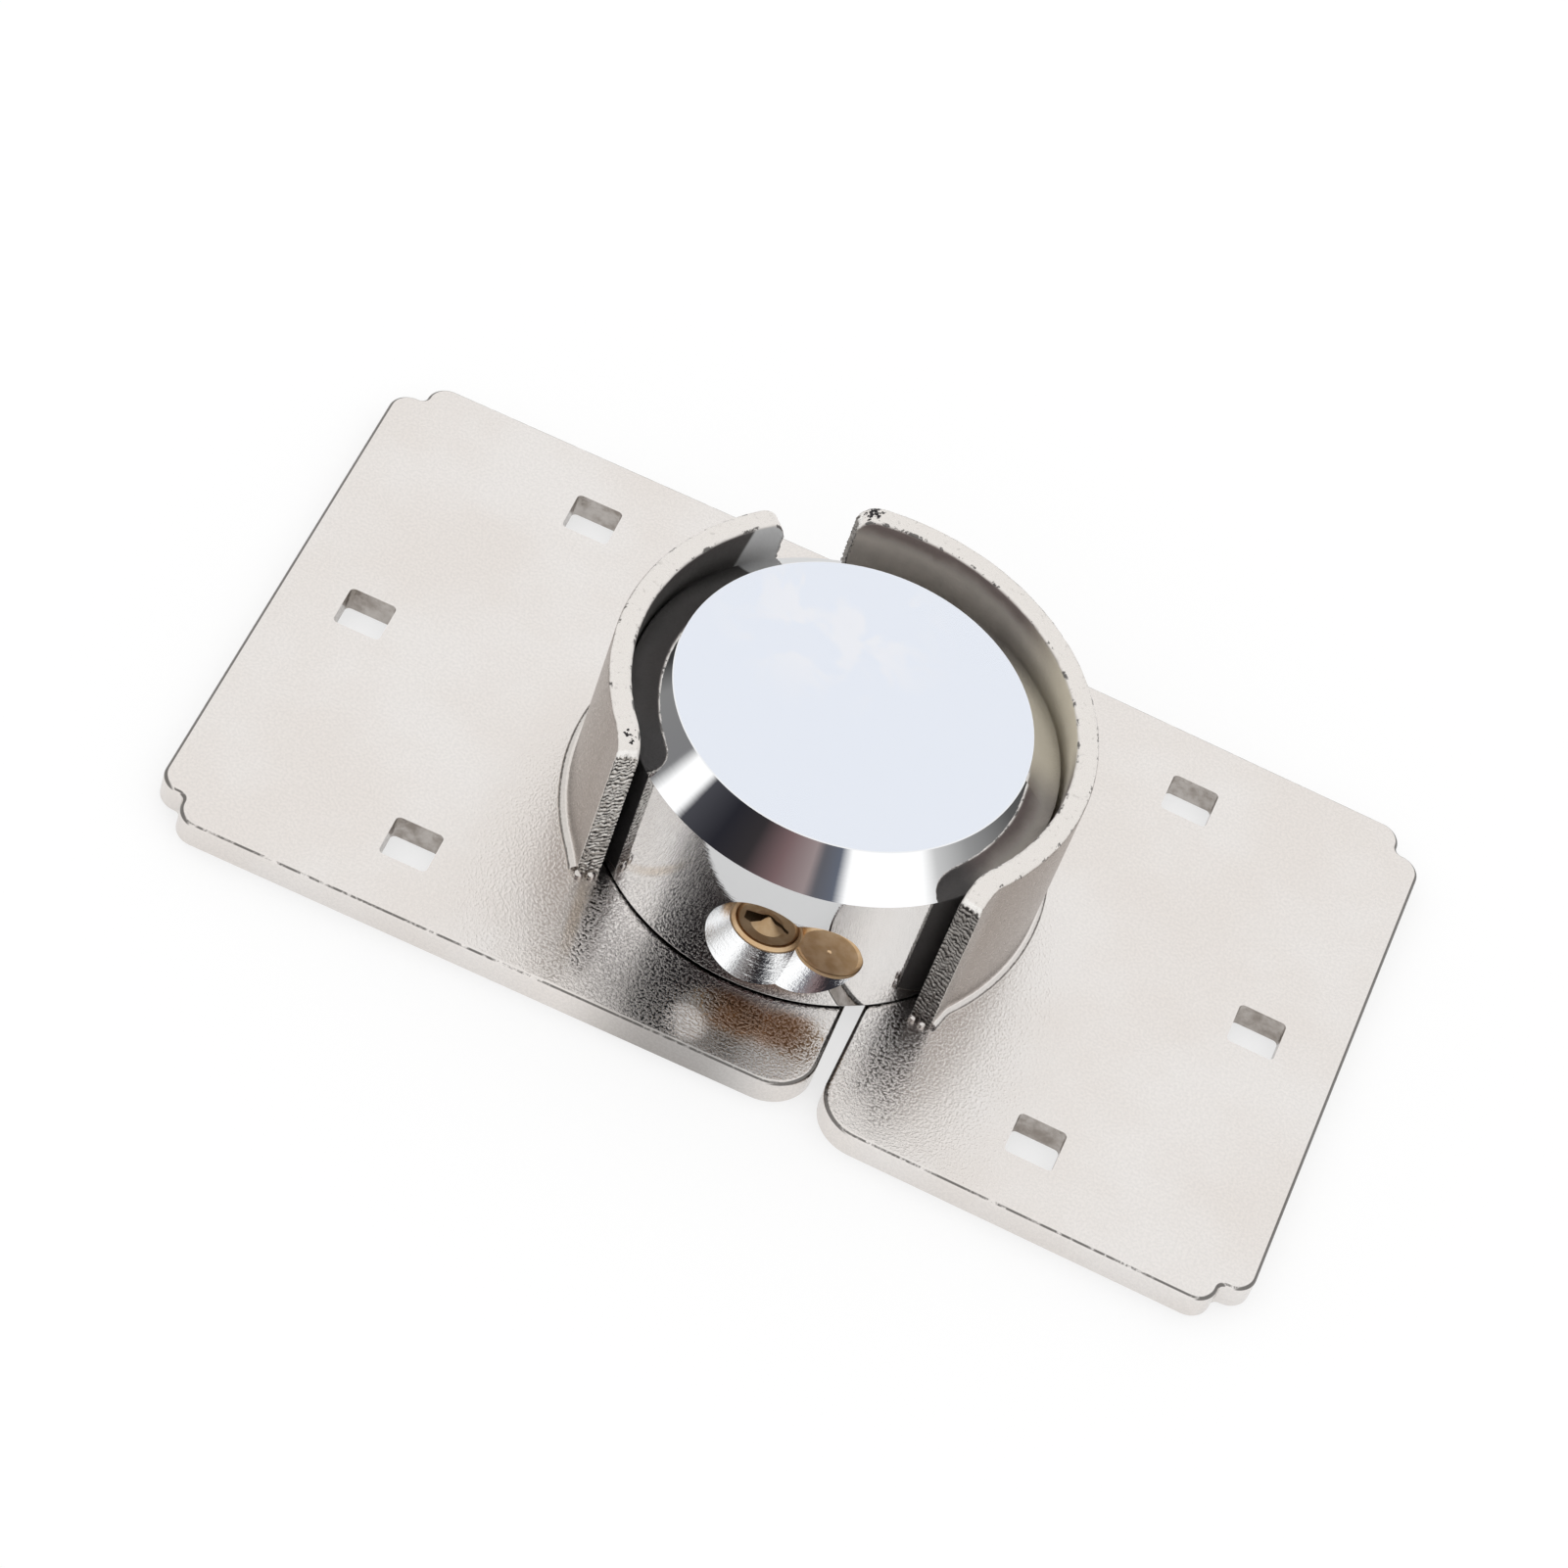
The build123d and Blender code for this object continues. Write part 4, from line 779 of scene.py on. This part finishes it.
def weldTree(shape):
    tree = bpy.data.node_groups.new("weldBead", "GeometryNodeTree")
    face = tree.interface
    face.new_socket("Geometry", in_out="INPUT", socket_type="NodeSocketGeometry")
    for label in ("Bead radius", "Ripple spacing", "Ripple depth", "Wander", "End bead"):
        face.new_socket(label, in_out="INPUT", socket_type="NodeSocketFloat")
    face.new_socket("Seed", in_out="INPUT", socket_type="NodeSocketInt")
    face.new_socket("Metal", in_out="INPUT", socket_type="NodeSocketMaterial")
    face.new_socket("Geometry", in_out="OUTPUT", socket_type="NodeSocketGeometry")
    given = tree.nodes.new("NodeGroupInput").outputs
    curve = addNode(tree, "GeometryNodeMeshToCurve", {0: given["Geometry"]}).outputs[0]
    curve = addNode(tree, "GeometryNodeResampleCurve",
                    {"Curve": curve, "Length": shape["stepLength"] * mm}, mode="LENGTH").outputs[0]
    along = addNode(tree, "GeometryNodeSplineParameter").outputs["Length"]
    phase = product(tree, mathOf(tree, "DIVIDE", along, given["Ripple spacing"]), 2 * pi)
    wave = mathOf(tree, "ABSOLUTE", mathOf(tree, "SINE", phase))
    ripple = product(tree, wave, given["Ripple depth"])
    shifted = mathOf(tree, "MULTIPLY_ADD", given["Seed"], shape["seedStep"], along)
    drift = addNode(tree, "ShaderNodeTexNoise",
                    {"W": shifted, "Scale": shape["wanderRate"], "Detail": 2.0},
                    noise_dimensions="1D").outputs[0]
    drift = product(tree, mathOf(tree, "SUBTRACT", drift, 0.5), given["Wander"])
    width = mathOf(tree, "ADD", mathOf(tree, "ADD", shape["middleWidth"], ripple), drift)
    profile = addNode(tree, "GeometryNodeCurvePrimitiveCircle",
                      {"Resolution": shape["roundPoints"], "Radius": given["Bead radius"]},
                      mode="RADIUS").outputs[0]
    bead = addNode(tree, "GeometryNodeCurveToMesh", {
        "Curve": curve, "Profile Curve": profile, "Scale": width, "Fill Caps": True}).outputs[0]
    # points that belong to no edge carry the round beads where the welder stopped
    neighbours = addNode(tree, "GeometryNodeInputMeshVertexNeighbors").outputs["Vertex Count"]
    alone = addNode(tree, "FunctionNodeCompare", {"A": neighbours, "B": 0.5},
                    operation="LESS_THAN").outputs[0]
    spots = addNode(tree, "GeometryNodeMeshToPoints",
                    {"Mesh": given["Geometry"], "Selection": alone}).outputs[0]
    ball = addNode(tree, "GeometryNodeMeshIcoSphere",
                   {"Radius": given["End bead"], "Subdivisions": 4}).outputs[0]
    balls = addNode(tree, "GeometryNodeInstanceOnPoints",
                    {"Points": spots, "Instance": ball}).outputs[0]
    joined = tree.nodes.new("GeometryNodeJoinGeometry")
    tree.links.new(bead, joined.inputs[0])
    tree.links.new(balls, joined.inputs[0])
    smooth = addNode(tree, "GeometryNodeSetShadeSmooth", {"Geometry": joined.outputs[0]}).outputs[0]
    real = addNode(tree, "GeometryNodeRealizeInstances", {"Geometry": smooth}).outputs[0]
    painted = addNode(tree, "GeometryNodeSetMaterial",
                      {"Geometry": real, "Material": given["Metal"]}).outputs[0]
    tree.links.new(painted, tree.nodes.new("NodeGroupOutput").inputs[0])
    return tree


def growAlong(name, line, beads, tree, values):
    # the carrier mesh holds the bead's path, then the places of its end beads, all in mm
    points = bpy.data.meshes.new(name + "Line")
    spots = [Vector(p) * mm for p in line + beads]
    points.from_pydata(spots, [(i, i + 1) for i in range(len(line) - 1)], [])
    carrier = addObject(name + "Line", points)
    modifier = carrier.modifiers.new("grow", "NODES")
    modifier.node_group = tree
    for item in tree.interface.items_tree:
        if item.item_type == "SOCKET" and item.in_out == "INPUT" and item.name in values:
            modifier[item.identifier] = values[item.name]
    evaluated = carrier.evaluated_get(bpy.context.evaluated_depsgraph_get())
    mesh = bpy.data.meshes.new_from_object(evaluated)
    mesh.name = name
    bpy.data.objects.remove(carrier)
    return addObject(name, mesh)


def weldPath(shape):
    # along the outer foot of a bar
    start = abs(radians(shape["weldFrom"] - shape["backAngle"])) * shape["radius"]
    length = sum(pathLengths(shape)) - weldShape["stopShort"]
    count = weldShape["pathPoints"]
    points = []
    for i in range(count + 1):
        place, outward = pathPoint(shape, start + (length - start) * i / count)[::2]
        spot = place + outward * (barShape["thickness"] / 2)
        points.append((spot.x, spot.y, barShape["foot"] - weldShape["drop"]))
    return points


def footBeads(shape, offsets):
    # beads at the foot of the front end, at these places across the bar
    place, travel, outward = pathPoint(shape, sum(pathLengths(shape)))
    beads = []
    for offset in offsets:
        spot = place + outward * offset + travel * weldShape["endBeadOut"]
        beads.append((spot.x, spot.y, barShape["foot"] + weldShape["endBeadUp"]))
    return beads


def lugPath(east):
    step, start = weldShape["lugStep"], weldShape["lugStart"]
    return [(east, step * i + start, barShape["foot"]) for i in range(weldShape["lugPoints"])]


# welds take the plates' look, with less of the painted dark reflection on the rim
weldLook = dict(plateLook, colour=(0.74, 0.70, 0.66), cloudColour=(0.80, 0.76, 0.73),
                grainSize=0.7, grainDepth=0.02, rimShade=0.15)
weldNickel = satinNickel("weldNickel", weldLook)
weldGroup = weldTree(weldShape)
leftBar, rightBar = shroudShapes["left"], shroudShapes["right"]
weldLines = {     # path, end beads and size
    "left_shroud_weld": (weldPath(leftBar), footBeads(leftBar, (1.7, -0.4)), 1.0),
    "right_shroud_weld": (weldPath(rightBar), footBeads(rightBar, (-1.2, 0.6)), 0.78),
    "left_lug_weld": (lugPath(-weldShape["lugSide"]), [], weldShape["lugBeadScale"]),
    "right_lug_weld": (lugPath(weldShape["lugSide"]), [], weldShape["lugBeadScale"]),
}
for nodeName, (line, beads, scale) in weldLines.items():
    side, piece = nodeName.split("_")[:2]
    bead = growAlong(side + piece.title() + "Bead", line, beads, weldGroup, {
        "Bead radius": weldShape["beadRadius"] * scale * mm,
        "Ripple spacing": weldShape["rippleSpacing"] * mm,
        "Ripple depth": weldShape["rippleDepth"],
        "Wander": weldShape["wander"],
        "End bead": weldShape["endBead"] * scale * mm,
        "Seed": weldShape["seed"],
        "Metal": weldNickel})
    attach(bead, "hasp")
    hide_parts(nodeName)
print("welds laid")


studio = {     # lengths in metres, angles in degrees
    "floorSize": 5.0, "floorColour": (0.37, 0.37, 0.37), "floorRoughness": 0.9,
    "floorGlow": 0.65,           # seen by the camera and by mirrors only
    "mirrorLoss": 0.45,          # how much greyer sharp mirrors see the floor
    "skyLevel": 0.95,
    "lampPower": 1.2, "lampSize": (1.6, 1.2), "lampPlace": (-1.4, -0.4, 1.6),
    "roomDistance": 1.6, "roomReach": 150, "roomLow": -6, "roomHigh": 64,
    "roomColumns": 60, "roomRows": 14, "roomGlow": 1.12,
    # what mirrors see round the object: degrees from the front, then colour
    "lowRoom": [
        (-150, (0.03, 0.03, 0.03)), (-118, (0.04, 0.04, 0.04)), (-104, (0.22, 0.22, 0.22)),
        (-74, (0.20, 0.20, 0.205)), (-68, (1, 1, 1)), (-57, (1, 1, 1)),
        (-53, (0.062, 0.062, 0.072)), (-35, (0.020, 0.020, 0.026)), (-18, (0.034, 0.030, 0.032)),
        (-2, (0.18, 0.118, 0.122)), (13, (0.30, 0.245, 0.245)), (18, (0.11, 0.11, 0.125)),
        (27, (0.12, 0.134, 0.17)), (33, (1, 1, 1)), (69, (1, 1, 1)), (76, (0.55, 0.55, 0.55)),
        (92, (0.28, 0.28, 0.28)), (116, (0.10, 0.10, 0.10)), (150, (0.03, 0.03, 0.03))],
    "highRoom": [
        (-58, (1, 1, 1)), (-51, (0.035, 0.035, 0.04)), (-30, (0.012, 0.011, 0.012)),
        (-12, (0.04, 0.033, 0.033)), (8, (0.13, 0.115, 0.11)), (24, (0.27, 0.26, 0.26)),
        (38, (0.30, 0.30, 0.30)), (50, (0.8, 0.8, 0.8)), (56, (1, 1, 1))],
    "highStart": 44, "highFull": 47,
    "behindTurn": (80, 100), "behindTilt": (28, 34),
}


def rampOf(tree, value, stops, reach):
    # one colour ramp takes up to 32 stops
    made = addNode(tree, "ShaderNodeValToRGB")
    elements = made.color_ramp.elements
    while len(elements) > 1:
        elements.remove(elements[0])
    for index, (turn, colour) in enumerate(stops):
        position = (turn + reach) / (2 * reach)
        element = elements[0] if index == 0 else elements.new(position)
        element.position = position
        element.color = (*colour, 1)
    tree.links.new(value, made.inputs[0])
    return made.outputs["Color"]


def inDegrees(tree, angle):
    return mathOf(tree, "MULTIPLY", angle, 180 / pi)


def buildRoom(s):
    # part of a globe round the object
    columns, rows, distance = s["roomColumns"], s["roomRows"], s["roomDistance"]
    points, faces = [], []
    for row in range(rows + 1):
        tilt = radians(s["roomLow"] + (s["roomHigh"] - s["roomLow"]) * row / rows)
        for column in range(columns + 1):
            turn = radians(s["roomReach"] * (2 * column / columns - 1))
            points.append((distance * sin(turn) * cos(tilt), -distance * cos(turn) * cos(tilt),
                           distance * sin(tilt)))
    for row in range(rows):
        for column in range(columns):
            first = row * (columns + 1) + column
            faces.append((first, first + 1, first + columns + 2, first + columns + 1))
    made = bpy.data.meshes.new("room")
    made.from_pydata(points, [], faces)
    return made


def makeRoom(s):
    # the dark parts of the room, which only mirrors see
    room = addObject("room", buildRoom(s))
    cloth = bpy.data.materials.new("roomCloth")
    cloth.use_nodes = True
    tree = cloth.node_tree
    tree.nodes.remove(tree.nodes["Principled BSDF"])
    east, north, up = partsOf(tree, addNode(tree, "ShaderNodeTexCoord").outputs["Object"])
    turn = inDegrees(tree, mathOf(tree, "ARCTAN2", east, mathOf(tree, "MULTIPLY", north, -1)))
    tilt = inDegrees(tree, mathOf(tree, "ARCSINE", mathOf(tree, "DIVIDE", up, s["roomDistance"])))
    share = mathOf(tree, "MULTIPLY_ADD", turn, 0.5 / s["roomReach"], 0.5)
    low = rampOf(tree, share, s["lowRoom"], s["roomReach"])
    high = rampOf(tree, share, s["highRoom"], s["roomReach"])
    # behind the object the room is dark only near the floor
    behind = product(tree, smoothStep(tree, mathOf(tree, "ABSOLUTE", turn), *s["behindTurn"]),
                     smoothStep(tree, tilt, *s["behindTilt"]))
    low = mixColour(tree, behind, low, (1.0, 1.0, 1.0))
    colour = mixColour(tree, smoothStep(tree, tilt, s["highStart"], s["highFull"]), low, high)
    # satin metal sees an even white room, so it looks the same from every side
    path = addNode(tree, "ShaderNodeLightPath")
    sharp = mathOf(tree, "MAXIMUM", path.outputs["Is Singular Ray"],
                   mathOf(tree, "GREATER_THAN", path.outputs["Ray Depth"], 1.5))
    colour = mixColour(tree, sharp, (1.0, 1.0, 1.0), colour)
    strength = mathOf(tree, "MULTIPLY_ADD", sharp, s["roomGlow"] - 1, 1.0)
    glow = addNode(tree, "ShaderNodeEmission", {"Color": colour, "Strength": strength})
    tree.links.new(glow.outputs[0], tree.nodes["Material Output"].inputs["Surface"])
    room.data.materials.append(cloth)
    room.visible_camera = False
    room.visible_diffuse = False
    room.visible_shadow = False
    room.visible_transmission = False


def seenShare(tree, path):
    # 1 for what the camera, a mirror or glass sees, 0 for what only lights the object
    seen = mathOf(tree, "MAXIMUM", path.outputs["Is Camera Ray"], path.outputs["Is Glossy Ray"])
    return mathOf(tree, "MAXIMUM", seen, path.outputs["Is Transmission Ray"])


def makeSky(s):
    world = bpy.data.worlds.new("softSky")
    bpy.context.scene.world = world
    world.use_nodes = True
    tree = world.node_tree
    background = tree.nodes["Background"]
    background.inputs["Color"].default_value = (1, 1, 1, 1)
    seen = seenShare(tree, addNode(tree, "ShaderNodeLightPath"))
    level = mathOf(tree, "MULTIPLY_ADD", seen, 1 - s["skyLevel"], s["skyLevel"])
    tree.links.new(level, background.inputs["Strength"])


def makeFloor(s):
    half = s["floorSize"] / 2
    mesh = bpy.data.meshes.new("floor")
    corners = [(-half, -half, 0), (half, -half, 0), (half, half, 0), (-half, half, 0)]
    mesh.from_pydata(corners, [], [(0, 1, 2, 3)])
    floorSheet = addObject("floor", mesh)
    paper = bpy.data.materials.new("whitePaper")
    paper.use_nodes = True
    tree = paper.node_tree
    shader = tree.nodes["Principled BSDF"]
    shader.inputs["Base Color"].default_value = (*s["floorColour"], 1)
    shader.inputs["Roughness"].default_value = s["floorRoughness"]
    shader.inputs["Specular IOR Level"].default_value = 0.0
    shader.inputs["Emission Color"].default_value = (1, 1, 1, 1)
    path = addNode(tree, "ShaderNodeLightPath")
    # sharp mirrors see a greyer floor, so chrome stands out from the white behind it
    mirrored = product(tree, path.outputs["Is Singular Ray"], s["mirrorLoss"],
                       path.outputs["Is Glossy Ray"])
    seen = mathOf(tree, "SUBTRACT", seenShare(tree, path), mirrored)
    tree.links.new(product(tree, seen, s["floorGlow"]), shader.inputs["Emission Strength"])
    mesh.materials.append(paper)


def makeLamp(s):
    lamp = bpy.data.lights.new("softBox", "AREA")
    lamp.shape = "RECTANGLE"
    lamp.size, lamp.size_y = s["lampSize"]
    lamp.energy = s["lampPower"]
    lampObject = addObject("softBox", lamp)
    lampObject.location = s["lampPlace"]
    direction = -Vector(s["lampPlace"])
    lampObject.rotation_euler = direction.to_track_quat("-Z", "Y").to_euler()


bpy.context.scene.view_settings.view_transform = "Standard"
makeSky(studio)
makeFloor(studio)
makeRoom(studio)
makeLamp(studio)
print("studio lit")
